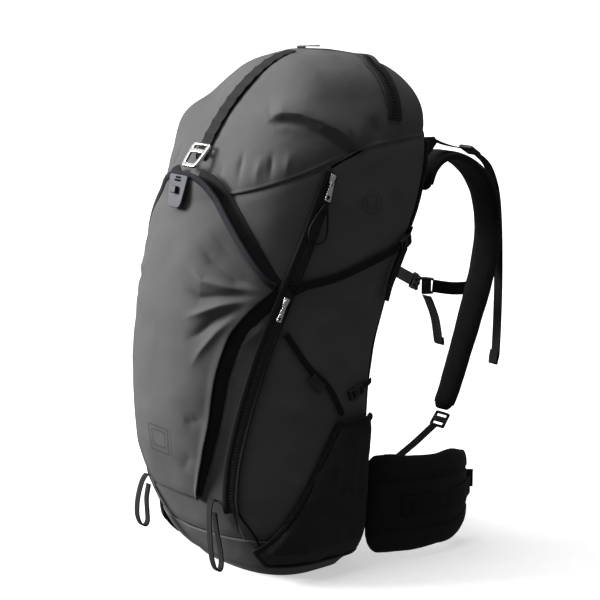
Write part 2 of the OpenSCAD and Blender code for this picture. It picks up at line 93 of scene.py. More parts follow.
# ---------------------------------------------------------------- shape of the bag, in mm
HALF_W = 141.0
WALL = 2.4
SEAM_LV = 529.0
MID_Y = 20.0
OUTLINE = np.array([
    [0, .64, -42, 66], [6, .76, -56, 76], [25, .88, -78, 82], [60, .94, -102, 84],
    [114, .97, -126, 84], [170, .985, -133, 84], [240, 1, -133, 87], [300, 1, -130, 99],
    [370, .99, -124, 129], [410, .98, -118, 158], [450, .965, -111, 184],
    [490, .95, -104, 200], [529, .94, -96, 204]], float)


def prof(col, lv):
    """Outline column at a level, softened over 24 mm."""
    lv = np.asarray(lv, float)
    shifts = (-12, -6, 0, 6, 12)
    return sum(np.interp(lv + s, OUTLINE[:, 0], OUTLINE[:, col]) for s in shifts) / len(shifts)


def seam_rise(y):
    return 0.31 * y - 0.001 * y * y


def rise_share(lv):
    return np.clip((lv - 300) / 229, 0, 1) ** 1.5


def bag(t, lv, d=0.0):
    """Points of the bag's section at angles t (degrees) and levels lv, d outside."""
    t, lv = np.broadcast_arrays(np.asarray(t, float), np.asarray(lv, float))
    c, s = np.cos(np.radians(t)), np.sin(np.radians(t))
    half = prof(1, lv) * HALF_W + d
    span = np.where(s > 0, prof(3, lv) + d - MID_Y, MID_Y - prof(2, lv) + d)
    e = 2 / np.where(s > 0, 7.0, np.interp(lv, [300, 529], [2.6, 2.1]))
    x = np.sign(c) * half * np.abs(c) ** e
    y = MID_Y + span * np.sign(s) * np.abs(s) ** e
    return np.stack([x, y, lv + rise_share(lv) * seam_rise(y)], -1)


def level_of(y, z):
    lv = z
    for _ in range(6):
        lv = z - rise_share(lv) * seam_rise(y)
    return lv


def front_at(x, lv):
    n = np.interp(lv, [300, 529], [2.6, 2.1])
    f = np.clip(1 - (np.abs(x) / (prof(1, lv) * HALF_W)) ** n, 0, 1) ** (1 / n)
    return MID_Y - (MID_Y - prof(2, lv)) * f


def angle_at(y, lv):
    back = y > MID_Y
    span = np.where(back, prof(3, lv) - MID_Y, MID_Y - prof(2, lv))
    n = np.where(back, 7.0, np.interp(lv, [300, 529], [2.6, 2.1]))
    a = np.degrees(np.arcsin(np.clip(np.abs(y - MID_Y) / span, 0, 1) ** (n / 2)))
    return np.where(back, a, -a)


def side_at(y, z, d=0.0, side=1):
    """Point on the bag's side at depth y and height z."""
    y, z = np.asarray(y, float), np.asarray(z, float)
    lv = level_of(y, z)
    p = bag(angle_at(y, lv), lv, d)
    return p * np.array([side, 1, 1])


def unit(v):
    v = np.asarray(v, float)
    return v / np.maximum(np.linalg.norm(v, axis=-1, keepdims=True), 1e-9)


def bag_normal(t, lv):
    return unit(np.cross(bag(t + 1, lv) - bag(t - 1, lv), bag(t, lv + 2) - bag(t, lv - 2)))


def side_normal(y, z, side=1):
    y, z = np.asarray(y, float), np.asarray(z, float)
    lv = level_of(y, z)
    return bag_normal(angle_at(y, lv), lv) * np.array([side, 1, 1])


def zip_angle(lv):
    return -56 + 57 * np.clip((np.asarray(lv, float) - 100) / 429, 0, None) ** 1.4


LID_GAP = 2.8
LID_H = 108.0


def lid_power(t):
    t = np.radians(t)
    return 1.95 + 0.2 * np.cos(2 * t) + 0.25 * np.maximum(0, np.sin(t))


def lid(t, q, d=0.0):
    """Points of the lid's dome: angle t, share q of the way from its seam to its top."""
    t, q = np.broadcast_arrays(np.asarray(t, float), np.asarray(q, float))
    rim = bag(t, np.full(t.shape, SEAM_LV), -2)
    p = lid_power(t)
    f = np.clip(1 - q ** p, 0, 1) ** (1 / p) * (1 + d / 150)
    y = 36 + 22 * q + (rim[..., 1] - 36) * f
    return np.stack([rim[..., 0] * f, y, SEAM_LV + LID_GAP + seam_rise(y) + q * (LID_H + d)], -1)


def lid_normal(t, q):
    return unit(np.cross(lid(t + 2, q) - lid(t - 2, q),
                         lid(t, np.minimum(q + .02, .99)) - lid(t, q - .02)))


POCKET_Z = 112.0
POCKET_OUT = 21.0
MOUTH_HALF = 126.0
MOUTH = np.array([[0, 514], [20, 513], [40, 505], [60, 483], [80, 457], [100, 427],
                  [120, 393], [126, 382]], float)
POCKET_HALF = np.array([[0, 44], [.2, 66], [.4, 78], [.6, 84], [.8, 96], [.9, 110],
                        [1, 126]], float)


def eased(table, x, reach):
    """A lookup whose corners are softened over a reach."""
    shifts = np.linspace(-reach, reach, 5)
    return sum(np.interp(x + s, table[:, 0], table[:, 1]) for s in shifts) / len(shifts)


def mouth_z(x):
    return eased(MOUTH, np.abs(x), 7.0)


def pocket_bulge(u, v):
    rise = np.sin(np.radians(np.minimum(90, v * 300))) ** .8
    return 3.5 + (POCKET_OUT - 3.5) * rise * (1 - .5 * np.abs(u) ** 3) * (1 - .42 * v ** 6)


def pocket(u, v, d=0.0):
    """Points of the front pocket: u from -1 to 1 across, v from 0 to 1 up."""
    u, v = np.broadcast_arrays(np.asarray(u, float), np.asarray(v, float))
    x = u * eased(POCKET_HALF, v, 0.03)
    z = POCKET_Z + (mouth_z(u * MOUTH_HALF) - POCKET_Z) * v
    lv = level_of(front_at(x, z), z)
    return np.stack([x, front_at(x, np.minimum(lv, SEAM_LV)) - pocket_bulge(u, v) - d, z], -1)


# ---------------------------------------------------------------- mesh building
def spaced(p, n):
    """n points at even steps along a line of points."""
    s = np.concatenate([[0], np.cumsum(np.linalg.norm(np.diff(p, axis=0), axis=1))])
    at = np.linspace(0, s[-1], n)
    return np.stack([np.interp(at, s, p[:, k]) for k in range(p.shape[1])], -1)


def spline(points, step=2.0):
    """Smooth curve through given points, at even steps."""
    p = np.asarray(points, float)
    ext = np.vstack([2 * p[0] - p[1], p, 2 * p[-1] - p[-2]])
    f = np.linspace(0, 1, 24, endpoint=False)[:, None]
    out = []
    for i in range(len(p) - 1):
        a, b, c, e = ext[i:i + 4]
        out.append(.5 * (2 * b + (c - a) * f + (2 * a - 5 * b + 4 * c - e) * f ** 2
                         + (3 * b - a - 3 * c + e) * f ** 3))
    line = np.vstack(out + [p[-1:]])
    length = np.linalg.norm(np.diff(line, axis=0), axis=1).sum()
    return spaced(line, max(4, int(length / step) + 1))


def tangents(p):
    return unit(np.gradient(p, axis=0))


def grid_normals(p, wrap=False):
    if wrap:
        du = np.roll(p, -1, axis=1) - np.roll(p, 1, axis=1)
    else:
        du = np.gradient(p, axis=1)
    return unit(np.cross(du, np.gradient(p, axis=0)))


def finish_mesh(name, verts, faces, uvs, mat, body, nodes=()):
    """Makes the piece: points in mm, one texture place for each point."""
    mesh = bpy.data.meshes.new(name)
    mesh.from_pydata((np.asarray(verts) * MM).tolist(), [], faces)
    layer = mesh.uv_layers.new(name="surface")
    loops = np.zeros(len(mesh.loops), np.int32)
    mesh.loops.foreach_get("vertex_index", loops)
    layer.data.foreach_set("uv", np.asarray(uvs, np.float32)[loops].ravel())
    mesh.polygons.foreach_set("use_smooth", [True] * len(mesh.polygons))
    mesh.materials.append(mat)
    obj = bpy.data.objects.new(name, mesh)
    scene.collection.objects.link(obj)
    if body:
        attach(obj, body)
    if nodes:
        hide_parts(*nodes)
    return obj


def grid_uv(p):
    u = np.cumsum(np.linalg.norm(np.diff(p, axis=1, prepend=p[:, :1]), axis=2), axis=1)
    v = np.cumsum(np.linalg.norm(np.diff(p, axis=0, prepend=p[:1]), axis=2), axis=0)
    return np.stack([u - u.mean(axis=1, keepdims=True), v], -1)


def shell(name, p, thick, mat, body, nodes=(), wrap=False, flip=False, relief=None):
    """A cloth panel on a grid of points, with an inner face and rounded rims."""
    n = grid_normals(p, wrap) * (-1 if flip else 1)
    if relief is not None:
        p = p + n * relief[..., None]
        n = grid_normals(p, wrap) * (-1 if flip else 1)
    rows, cols = p.shape[:2]
    inner = p - n * thick
    uv = grid_uv(p)
    count = rows * cols
    idx = np.arange(count).reshape(rows, cols)
    nxt = np.roll(idx, -1, axis=1) if wrap else idx[:, 1:]
    cur = idx if wrap else idx[:, :-1]
    quads = np.stack([cur[:-1], nxt[:-1], nxt[1:], cur[1:]], -1).reshape(-1, 4)
    if flip:
        quads = quads[:, ::-1]
    back = quads[:, ::-1] + count

    def rim(line, closed):
        a = line
        b = np.roll(line, -1)
        if not closed:
            a, b = a[:-1], b[:-1]
        return np.stack([b, a, a + count, b + count], -1)
    rims = [rim(idx[0], wrap), rim(idx[-1][::-1], wrap)]
    if not wrap:
        rims += [rim(idx[::-1, 0], False), rim(idx[:, -1], False)]
    rims = np.vstack(rims)
    if flip:
        rims = rims[:, ::-1]
    faces = np.vstack([quads, back, rims]).tolist()
    verts = np.vstack([p.reshape(-1, 3), inner.reshape(-1, 3)])
    uvs = np.vstack([uv.reshape(-1, 2)] * 2)
    return finish_mesh(name, verts, faces, uvs, mat, body, nodes)


def sweep(path, nrm, section, scale_w=None, scale_t=None):
    """Rings of a section carried along a path, flat against its normals."""
    tan = tangents(path)
    s = unit(np.cross(tan, nrm))
    n = np.cross(s, tan)
    w = np.ones(len(path)) if scale_w is None else scale_w
    t = np.ones(len(path)) if scale_t is None else scale_t
    return (path[:, None] + s[:, None] * (section[None, :, :1] * w[:, None, None])
            + n[:, None] * (section[None, :, 1:] * t[:, None, None]))


def ring_faces(rows, cols, base=0):
    idx = np.arange(rows * cols).reshape(rows, cols) + base
    nxt = np.roll(idx, -1, axis=1)
    quads = np.stack([idx[:-1], idx[1:], nxt[1:], nxt[:-1]], -1).reshape(-1, 4).tolist()
    quads.append(idx[0].tolist())
    quads.append(idx[-1][::-1].tolist())
    return quads


def tube_mesh(parts):
    """Closed ring stacks joined into one set of points, faces and texture places."""
    verts, faces, uvs, base = [], [], [], 0
    for rings in parts:
        rows, cols = rings.shape[:2]
        verts.append(rings.reshape(-1, 3))
        faces += ring_faces(rows, cols, base)
        step = np.linalg.norm(np.diff(rings.mean(axis=1), axis=0), axis=1)
        along = np.concatenate([[0], np.cumsum(step)])
        round_ = np.cumsum(np.linalg.norm(np.diff(rings, axis=1, prepend=rings[:, :1]), axis=2),
                           axis=1)
        uvs.append(np.stack([round_, np.repeat(along[:, None], cols, 1)], -1).reshape(-1, 2))
        base += rows * cols
    return np.vstack(verts), faces, np.vstack(uvs)


def flat_section(w, t, n=9):
    """Outline of webbing: a flat band with rounded edges and a slight swell."""
    r = t / 2
    x = np.linspace(-w / 2 + r, w / 2 - r, n)
    a = np.radians(np.linspace(90, -90, 7))[1:-1]
    right = np.stack([w / 2 - r + r * np.cos(a), r * np.sin(a)], -1)
    top = np.stack([x, np.full(n, r)], -1)
    bottom = np.stack([x[::-1], np.full(n, -r)], -1)
    return np.vstack([top, right, bottom, -right])


def soft_section(w, t, n=40, square=.35, round_=.62):
    a = np.radians(np.arange(n) * 360 / n)
    c, s = np.cos(a), np.sin(a)
    return np.stack([np.sign(c) * np.abs(c) ** square * w / 2,
                     np.sign(s) * np.abs(s) ** round_ * t / 2], -1)


def round_section(r, n=10):
    a = np.radians(np.arange(n) * 360 / n)
    return np.stack([np.cos(a), np.sin(a)], -1) * r


def tube_piece(name, parts, mat, body, nodes=()):
    v, f, uv = tube_mesh(parts)
    return finish_mesh(name, v, f, uv, mat, body, nodes)


def band(path, nrm, w, t):
    return sweep(path, nrm, flat_section(w, t))


def webbing(name, parts, body="bag", nodes=()):
    return tube_piece(name, parts, WEB, body, nodes)


def sewing(name, rows, body="bag"):
    return tube_piece(name, rows, THREAD, body)


def across_x(points, x, step=2.0):
    """A path in a plane of constant X and its normals; points hold y, z and an x shift."""
    p = np.array([[x + (q[2] if len(q) > 2 else 0), q[0], q[1]] for q in points], float)
    p = spline(p, step)
    return p, np.cross([1.0, 0, 0], tangents(p))


def side_line(points, d, side, step=2.0):
    p = spline(np.array(points, float), step)
    return side_at(p[:, 0], p[:, 1], d, side), side_normal(p[:, 0], p[:, 1], side)


def stitch_rings(a, b, up, r):
    """One raised stitch from a to b: a low capsule."""
    along = b - a
    s = np.array([0, .12, .5, .88, 1.0])
    path = a + along * s[:, None] + up * (np.sin(np.pi * s) * r * .6)[:, None]
    k = np.array([.35, .9, 1.0, .9, .35])
    side = unit(np.cross(along, up))
    ring = round_section(r, 6)
    return (path[:, None] + side * ring[None, :, :1] * k[:, None, None]
            + up * ring[None, :, 1:] * k[:, None, None])


def stitch_line(path, nrm, length=2.6, gap=1.2, r=.32, lift=.15):
    p = np.asarray(path)
    total = np.linalg.norm(np.diff(p, axis=0), axis=1).sum()
    count = max(1, int(total / (length + gap)))
    q = spaced(np.hstack([p, nrm]), count * 8 + 1)
    parts = []
    for i in range(count):
        a, b = q[i * 8], q[i * 8 + 5]
        up = unit(a[3:])
        parts.append(stitch_rings(a[:3] + up * lift, b[:3] + up * lift, up, r))
    return parts


def capsule(a, b, r, n=8):
    """A rounded rod between two points."""
    a, b = np.asarray(a, float), np.asarray(b, float)
    t = unit(b - a)
    side = unit(np.cross(t, [0, 0, 1.0] if abs(t[2]) < .9 else [1.0, 0, 0]))
    up = np.cross(side, t)
    ring = round_section(r, n)
    steps = [(-.9, .35), (-.6, .8), (0, 1.0)]
    rows = [(a + t * r * h, k) for h, k in steps] + [(b - t * r * h, k) for h, k in steps[::-1]]
    return np.stack([c + side * ring[:, :1] * k + up * ring[:, 1:] * k for c, k in rows])


# ---------------------------------------------------------------- relief in the cloth
def along_line(p, line):
    """Distance of each point from a line of points, its share along it and its side."""
    line = np.asarray(line, float)
    best = np.full(p.shape[:-1], 1e9)
    place = np.zeros(p.shape[:-1])
    above = np.ones(p.shape[:-1])
    seg = np.linalg.norm(np.diff(line, axis=0), axis=1)
    start = np.concatenate([[0], np.cumsum(seg)])
    for i, length in enumerate(seg):
        a, b = line[i], line[i + 1]
        t = np.clip(((p - a) @ (b - a)) / length ** 2, 0, 1)
        away = p - a - t[..., None] * (b - a)
        d = np.linalg.norm(away, axis=-1)
        near = d < best
        best = np.where(near, d, best)
        above = np.where(near, np.sign(away[..., 2]), above)
        place = np.where(near, start[i] + t * length, place)
    return best, place / start[-1], above


def faded(s, ends):
    f = np.clip(np.minimum(s, 1 - s) / max(ends, 1e-3), 0, 1)
    return f * f * (3 - 2 * f)


def fold(p, line, width, height, ends=.25, sharp=1.5):
    """A crease along a line of points; it fades over the end shares of its length."""
    d, s, _ = along_line(p, line)
    return height * faded(s, ends) * np.exp(-(d / width) ** sharp)


def overhang(p, line, upper, lower, height, dip, ends=.25):
    """A roll of slack cloth: broad above its line, steep below it, with a hollow beneath."""
    d, s, above = along_line(p, line)
    rise = np.where(above > 0, np.exp(-(d / upper) ** 2), np.exp(-(d / lower) ** 2))
    hollow = np.where(above > 0, 0, np.exp(-((d - 2.2 * lower) / (1.5 * lower)) ** 2))
    return faded(s, ends) * (height * rise - dip * hollow)


def ripple(p, size, height, seed=0.0, stretch=(1, 1, 1)):
    """Gentle unevenness of cloth under slack tension."""
    q = p.reshape(-1, 3) * np.array(stretch) / size + seed
    h = [noise.noise(Vector(v)) + .5 * noise.noise(Vector(v) * 2.1) for v in q]
    return np.array(h).reshape(p.shape[:-1]) * height


# ---------------------------------------------------------------- materials
def new_material(name, rough, metal=0.0, sheen=0.0, gloss=0.5):
    mat = bpy.data.materials.new(name)
    mat.use_nodes = True
    shader = mat.node_tree.nodes["Principled BSDF"]
    shader.inputs["Roughness"].default_value = rough
    shader.inputs["Metallic"].default_value = metal
    shader.inputs["Sheen Weight"].default_value = sheen
    shader.inputs["Sheen Roughness"].default_value = 0.5
    shader.inputs["Specular IOR Level"].default_value = gloss
    return mat, mat.node_tree, shader


def calc(tree, kind, a, b=None, c=None):
    made = tree.nodes.new("ShaderNodeMath")
    made.operation = kind
    for i, value in enumerate((a, b, c)):
        if value is None:
            continue
        if isinstance(value, (int, float)):
            made.inputs[i].default_value = value
        else:
            tree.links.new(value, made.inputs[i])
    return made.outputs[0]


def noise_of(tree, source, scale, detail=3.0):
    made = tree.nodes.new("ShaderNodeTexNoise")
    made.inputs["Scale"].default_value = scale
    made.inputs["Detail"].default_value = detail
    tree.links.new(source, made.inputs["Vector"])
    return made.outputs["Fac"]


def shade(tree, shader, fac, dark, light):
    ramp = tree.nodes.new("ShaderNodeValToRGB")
    ramp.color_ramp.elements[0].color = (*dark, 1)
    ramp.color_ramp.elements[1].color = (*light, 1)
    tree.links.new(fac, ramp.inputs["Fac"])
    tree.links.new(ramp.outputs["Color"], shader.inputs["Base Color"])


def bump(tree, shader, height, strength, distance):
    made = tree.nodes.new("ShaderNodeBump")
    made.inputs["Strength"].default_value = strength
    made.inputs["Distance"].default_value = distance
    tree.links.new(height, made.inputs["Height"])
    tree.links.new(made.outputs["Normal"], shader.inputs["Normal"])


def spread(color, amount):
    return ([c * (1 - amount) for c in color], [c * (1 + amount) for c in color])


def surface_axes(tree):
    """Texture place along and across a piece, in mm, and its place in space, in metres."""
    place = tree.nodes.new("ShaderNodeTexCoord")
    split = tree.nodes.new("ShaderNodeSeparateXYZ")
    tree.links.new(place.outputs["UV"], split.inputs[0])
    return split.outputs["X"], split.outputs["Y"], place.outputs["Object"]


def waves(tree, axis, pitch):
    return calc(tree, "SINE", calc(tree, "MULTIPLY", axis, 2 * math.pi / pitch))


def woven(name, color, pitch=1.1, rough=.8, sheen=.1, vary=.14, depth=.25):
    """Plain weave with slubs and slow colour change."""
    mat, tree, shader = new_material(name, rough, sheen=sheen, gloss=.35)
    u, v, space = surface_axes(tree)
    cross = calc(tree, "MULTIPLY", waves(tree, u, pitch), waves(tree, v, pitch))
    slub = noise_of(tree, space, 900, 2)
    slow = noise_of(tree, space, 22, 3)
    fac = calc(tree, "MULTIPLY_ADD", cross, .12, slow)
    fac = calc(tree, "MULTIPLY_ADD", calc(tree, "SUBTRACT", slub, .5), .5, fac)
    shade(tree, shader, fac, *spread(color, vary))
    height = calc(tree, "MULTIPLY_ADD", slub, .6, cross)
    bump(tree, shader, height, depth, .0003)
    return mat


def ribbed(name, color, pitch=1.4, rough=.62, vary=.25):
    """Webbing: ribs across the run and a fine grain along it."""
    mat, tree, shader = new_material(name, rough, sheen=.02, gloss=.22)
    u, v, space = surface_axes(tree)
    ribs = waves(tree, v, pitch)
    grain = calc(tree, "MULTIPLY", waves(tree, u, .9), .35)
    worn = noise_of(tree, space, 320, 4)
    fac = calc(tree, "MULTIPLY_ADD", ribs, .16, worn)
    shade(tree, shader, fac, *spread(color, vary))
    bump(tree, shader, calc(tree, "ADD", ribs, grain), .5, .0004)
    return mat


def moulded(name, color, rough=.42, grain=1400):
    mat, tree, shader = new_material(name, rough)
    space = surface_axes(tree)[2]
    fine = noise_of(tree, space, grain, 2)
    slow = noise_of(tree, space, 60, 2)
    shade(tree, shader, slow, *spread(color, .15))
    bump(tree, shader, fine, .12, .0002)
    rub = calc(tree, "MULTIPLY_ADD", slow, .25, rough - .12)
    tree.links.new(rub, shader.inputs["Roughness"])
    return mat


def cast_metal(name, color, rough=.3):
    mat, tree, shader = new_material(name, rough, metal=1.0)
    space = surface_axes(tree)[2]
    pits = noise_of(tree, space, 700, 4)
    shade(tree, shader, pits, *spread(color, .08))
    rub = calc(tree, "MULTIPLY_ADD", pits, .3, rough - .15)
    tree.links.new(rub, shader.inputs["Roughness"])
    bump(tree, shader, pits, .15, .0002)
    return mat


def open_mesh(name, color, cell=2.6, rough=.75):
    """Knitted mesh: rows of round holes between thicker threads."""
    mat, tree, shader = new_material(name, rough, sheen=.04)
    u, v, space = surface_axes(tree)
    a = waves(tree, calc(tree, "ADD", u, v), cell * 1.4)
    b = waves(tree, calc(tree, "SUBTRACT", u, v), cell * 1.4)
    holes = calc(tree, "MAXIMUM", a, b)
    slow = noise_of(tree, space, 30, 3)
    fac = calc(tree, "MULTIPLY_ADD", holes, .35, calc(tree, "MULTIPLY", slow, .9))
    shade(tree, shader, fac, *spread(color, .65))
    bump(tree, shader, holes, .8, .0006)
    return mat


SHELL = woven("shell_cloth", (.088, .088, .089), sheen=.04)
SIDE = woven("side_cloth", (.092, .092, .095), sheen=.04)
# Black lining cloth; on the pocket's gussets and beside its mouth it is painted shade.
LINING_AND_SHADE = woven("lining_and_shade_cloth", (.005, .005, .0055), sheen=.02, vary=.3)
PAD = woven("pad_cloth", (.0055, .0055, .006), pitch=1.6, sheen=.05, vary=.3, depth=.5)
BACK = woven("back_cloth", (.006, .006, .0065), pitch=1.8, sheen=.05, vary=.3, depth=.5)
SPACER = open_mesh("spacer_cloth", (.007, .007, .0075), cell=3.4)
NET = open_mesh("net_cloth", (.005, .005, .0055), cell=2.4)
WEB = ribbed("black_webbing", (.0065, .0065, .0075))
BIND = ribbed("slate_binding", (.013, .014, .020), pitch=.9)
ZIP_CLOTH = woven("zip_cloth", (.014, .016, .022), pitch=.7, rough=.42, vary=.2)
# Black cloth of the zip flaps; on the side zip it is also painted shade for the gaps beside the tape.
ZIP_FLAP_AND_SHADE = woven("zip_flap_and_shade_cloth", (.006, .006, .007), vary=.3)
COIL = moulded("zip_coil", (.020, .022, .028), rough=.4)
TAG = woven("tag_cloth", (.03, .03, .031), pitch=.5)
THREAD = ribbed("black_thread", (.008, .008, .009), pitch=.5)
PALE_THREAD = ribbed("grey_thread", (.075, .075, .078), pitch=.5)
CORD_CLOTH = ribbed("cord_braid", (.009, .009, .010), pitch=1.1)
PATCH = moulded("slate_rubber", (.038, .040, .052), rough=.55)
BLACK = moulded("black_nylon", (.009, .009, .0095))
SHEET_MAT = moulded("frame_sheet_plastic", (.05, .05, .05), rough=.6)
STAY_MAT = cast_metal("stay_bar", (.7, .7, .72), rough=.35)
STEEL = cast_metal("bright_cast", (.86, .86, .84), rough=.26)
FLOOR = moulded("pale_floor", (.80, .80, .80), rough=.9, grain=40)
FLOOR.node_tree.nodes["Principled BSDF"].inputs["Emission Color"].default_value = (1, 1, 1, 1)
FLOOR.node_tree.nodes["Principled BSDF"].inputs["Emission Strength"].default_value = .5


def add_floor():
    mesh = bpy.data.meshes.new("studio_floor")
    half = 30.0
    corners = [(-half, -half, 0), (half, -half, 0), (half, half, 0), (-half, half, 0)]
    mesh.from_pydata(corners, [], [(0, 1, 2, 3)])
    mesh.materials.append(FLOOR)
    floor = bpy.data.objects.new("studio_floor", mesh)
    floor.location.z = -0.0006
    scene.collection.objects.link(floor)
    floor.visible_diffuse = False
    floor.visible_glossy = False


add_floor()


# ---------------------------------------------------------------- zip pull cord
UPPER_LV = 510.0
LOWER_LV = 372.0
SLIDER_LIFT = 4.6


def zip_axes(lv):
    """Columns: across the zip, up along it, out of the cloth."""
    a = zip_angle(lv)
    n = bag_normal(a, np.float64(lv))
    up = unit(bag(zip_angle(lv + 4), lv + 4) - bag(zip_angle(lv - 4), lv - 4))
    return np.stack([np.cross(up, n), up, n], -1)


def at_zip(lv, lift, points):
    return bag(zip_angle(lv), lv, lift) + np.asarray(points, float) @ zip_axes(lv).T


CORD_R = 1.3


def add_pull_cord():
    route = [[0, -31.6], [-4.4, -38], [-10.6, -54], [-13.6, -68], [-9.4, -78], [0, -81],
             [9.4, -78], [13.6, -68], [10.6, -54], [4.4, -38], [0.4, -33.2]]
    pts = spline([[a, b, 0] for a, b in route], 5.0)
    pts = at_zip(UPPER_LV, SLIDER_LIFT + 4.6, pts)
    curve = bpy.data.curves.new("pull_cord_loop", "CURVE")
    curve.dimensions = "3D"
    curve.bevel_depth = CORD_R * MM
    curve.bevel_resolution = 5
    curve.use_fill_caps = True
    line = curve.splines.new("POLY")
    line.points.add(len(pts) - 1)
    for point, co in zip(line.points, pts):
        point.co = (*(co * MM), 1)
    curve.materials.append(CORD_CLOTH)
    obj = bpy.data.objects.new("pull_cord_loop", curve)
    scene.collection.objects.link(obj)
    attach(obj, "upper_pull")
    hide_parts("pull_cord")
    knot = tube_piece("pull_cord_knot", [
        capsule(*at_zip(UPPER_LV, SLIDER_LIFT + 4.6, [[-3, -35 - k, 0], [3, -36.5 - k, 0]]), 1.9)
        for k in (0, 2.6, 5.2)], CORD_CLOTH, "upper_pull")


add_pull_cord()


# ---------------------------------------------------------------- bag panels
def wall_grid(start, end, levels, cols, side=1):
    reach = np.geomspace(1e-7, 8, 70)
    near = np.concatenate([c + s * reach for c in (-180, -90, 0, 90, 180) for s in (-1, 1)])
    rows = []
    for lv in levels:
        a, b = float(start(lv)), float(end(lv))
        lo, hi = min(a, b), max(a, b)
        t = np.sort(np.concatenate([np.linspace(lo, hi, 300), near[(near > lo) & (near < hi)]]))
        if a > b:
            t = t[::-1]
        rows.append(spaced(bag(t, np.full(len(t), lv)), cols))
    return np.array(rows) * np.array([side, 1, 1])


BACK_CORNER = 50.0
WALL_LEVELS = np.linspace(60.5, SEAM_LV, 214)


def seam_tuck(p, reach=9.0, depth=2.2):
    """Cloth pulled in at the top seam and the bottom seam of a panel."""
    s = np.linspace(0, 1, p.shape[0])[:, None]
    tall = (p[-1, :, 2] - p[0, :, 2])[None, :]
    return -depth * (np.exp(-(s * tall / reach) ** 2) + np.exp(-((1 - s) * tall / reach) ** 2))


def add_front_panel():
    p = wall_grid(lambda lv: zip_angle(lv) - .3, lambda lv: -180 - zip_angle(lv) + .3,
                  WALL_LEVELS, 150)
    relief = ripple(p, 55, 1.1, 3.1) + seam_tuck(p)
    for s in (-1, 1):
        for z, w in ((470, 6), (455, 5), (432, 7), (410, 5), (385, 6), (352, 7), (318, 6)):
            line = [[s * 118, -72, z + 26], [s * 104, -104, z - 4], [s * 92, -112, z - 30]]
            relief += fold(p, line, w, 3.4)
    shell("front_body_cloth", p, WALL, SHELL, "bag", ["front_body_panel"],
          flip=True, relief=relief)


def add_side_panel(side):
    p = wall_grid(lambda lv: zip_angle(lv) + .3, lambda lv: BACK_CORNER - .2,
                  WALL_LEVELS, 120, side)
    relief = ripple(p, 60, 1.3, 7.7 * side) + seam_tuck(p)
    for y0, z0, y1, z1, w in ((20, 500, 60, 455, 7), (55, 505, 84, 470, 6), (96, 500, 92, 452, 7),
                              (130, 515, 118, 470, 7), (30, 395, 96, 424, 9), (10, 372, 70, 350, 8),
                              (90, 380, 60, 330, 8), (-20, 330, 30, 345, 8),
                              (-70, 250, -20, 215, 6), (-62, 205, -30, 150, 6),
                              (-40, 300, 20, 262, 7), (-56, 150, -14, 118, 5)):
        a, b = side_at([y0, y1], [z0, z1], 0, side)
        relief += fold(p, [a, b], 1.5 * w, 2.0, ends=.5)
    name = SIDE_NAMES[side]
    shell("side_cloth_" + name, p, WALL, SIDE, "bag", ["side_panel_" + name],
          flip=side < 0, relief=relief)


def add_back_panel():
    p = wall_grid(lambda lv: BACK_CORNER + .2, lambda lv: 180 - BACK_CORNER - .2,
                  WALL_LEVELS, 130)
    shell("back_cloth_panel", p, WALL, BACK, "bag", ["back_panel"],
          relief=ripple(p, 50, .8, 1.3) + seam_tuck(p, 7, 1.2))


def ring_angles(count):
    t = np.concatenate([np.linspace(0, 360, 1500)]
                       + [c + s * np.geomspace(1e-6, 6, 60)
                          for c in (0, 90, 180, 270) for s in (-1, 1)])
    t = np.sort(t[(t >= 0) & (t < 360)])
    line = bag(t, np.full(len(t), SEAM_LV))
    s = np.concatenate([[0], np.cumsum(np.linalg.norm(np.diff(line[:, :2], axis=0), axis=1))])
    return np.interp(np.arange(count) / count * s[-1], s, t)


def add_bottom():
    t = ring_angles(280)
    shares = np.linspace(.03, .97, 16)
    base = bag(t, np.zeros(len(t)))
    centre = np.array([0, 12.0, 0])
    rows = [centre + (base - centre) * k for k in shares]
    rows += [bag(t, np.full(len(t), lv)) for lv in np.linspace(0, 60, 34)]
    p = np.array(rows)
    relief = ripple(p, 40, 1.2, 5.5)
    relief *= np.clip((p[..., 2] - 4) / 20, 0, 1)
    shell("bottom_cloth", p, WALL, SHELL, "bag", ["bottom_panel"], wrap=True,
          relief=relief)


def add_piping(side):
    """Cord piping down the back corner seam and across the low front corner."""
    name = SIDE_NAMES[side]
    lv = np.linspace(64, SEAM_LV - 6, 200)
    corner = bag(np.full(len(lv), BACK_CORNER), lv, 1.0) * np.array([side, 1, 1])
    out = bag_normal(np.full(len(lv), BACK_CORNER), lv) * np.array([side, 1, 1])
    low, low_out = side_line([[-108, 120], [-94, 94], [-80, 71], [-67, 46]], .6, side)
    tube_piece("corner_piping_" + name, [sweep(corner, out, round_section(3.4, 12))], BACK,
               "bag")
    tube_piece("low_piping_" + name, [sweep(low, low_out, round_section(1.5, 10))], WEB,
               "bag")


for hand in (1, -1):
    add_piping(hand)
add_front_panel()
for hand in (1, -1):
    add_side_panel(hand)
add_back_panel()
add_bottom()


# ---------------------------------------------------------------- lid
def swell(p, centre, width, height):
    """A broad soft rise, or a hollow where height is negative."""
    d = np.linalg.norm((p - np.array(centre)) / np.array(width), axis=-1)
    return height * np.exp(-d ** 2)


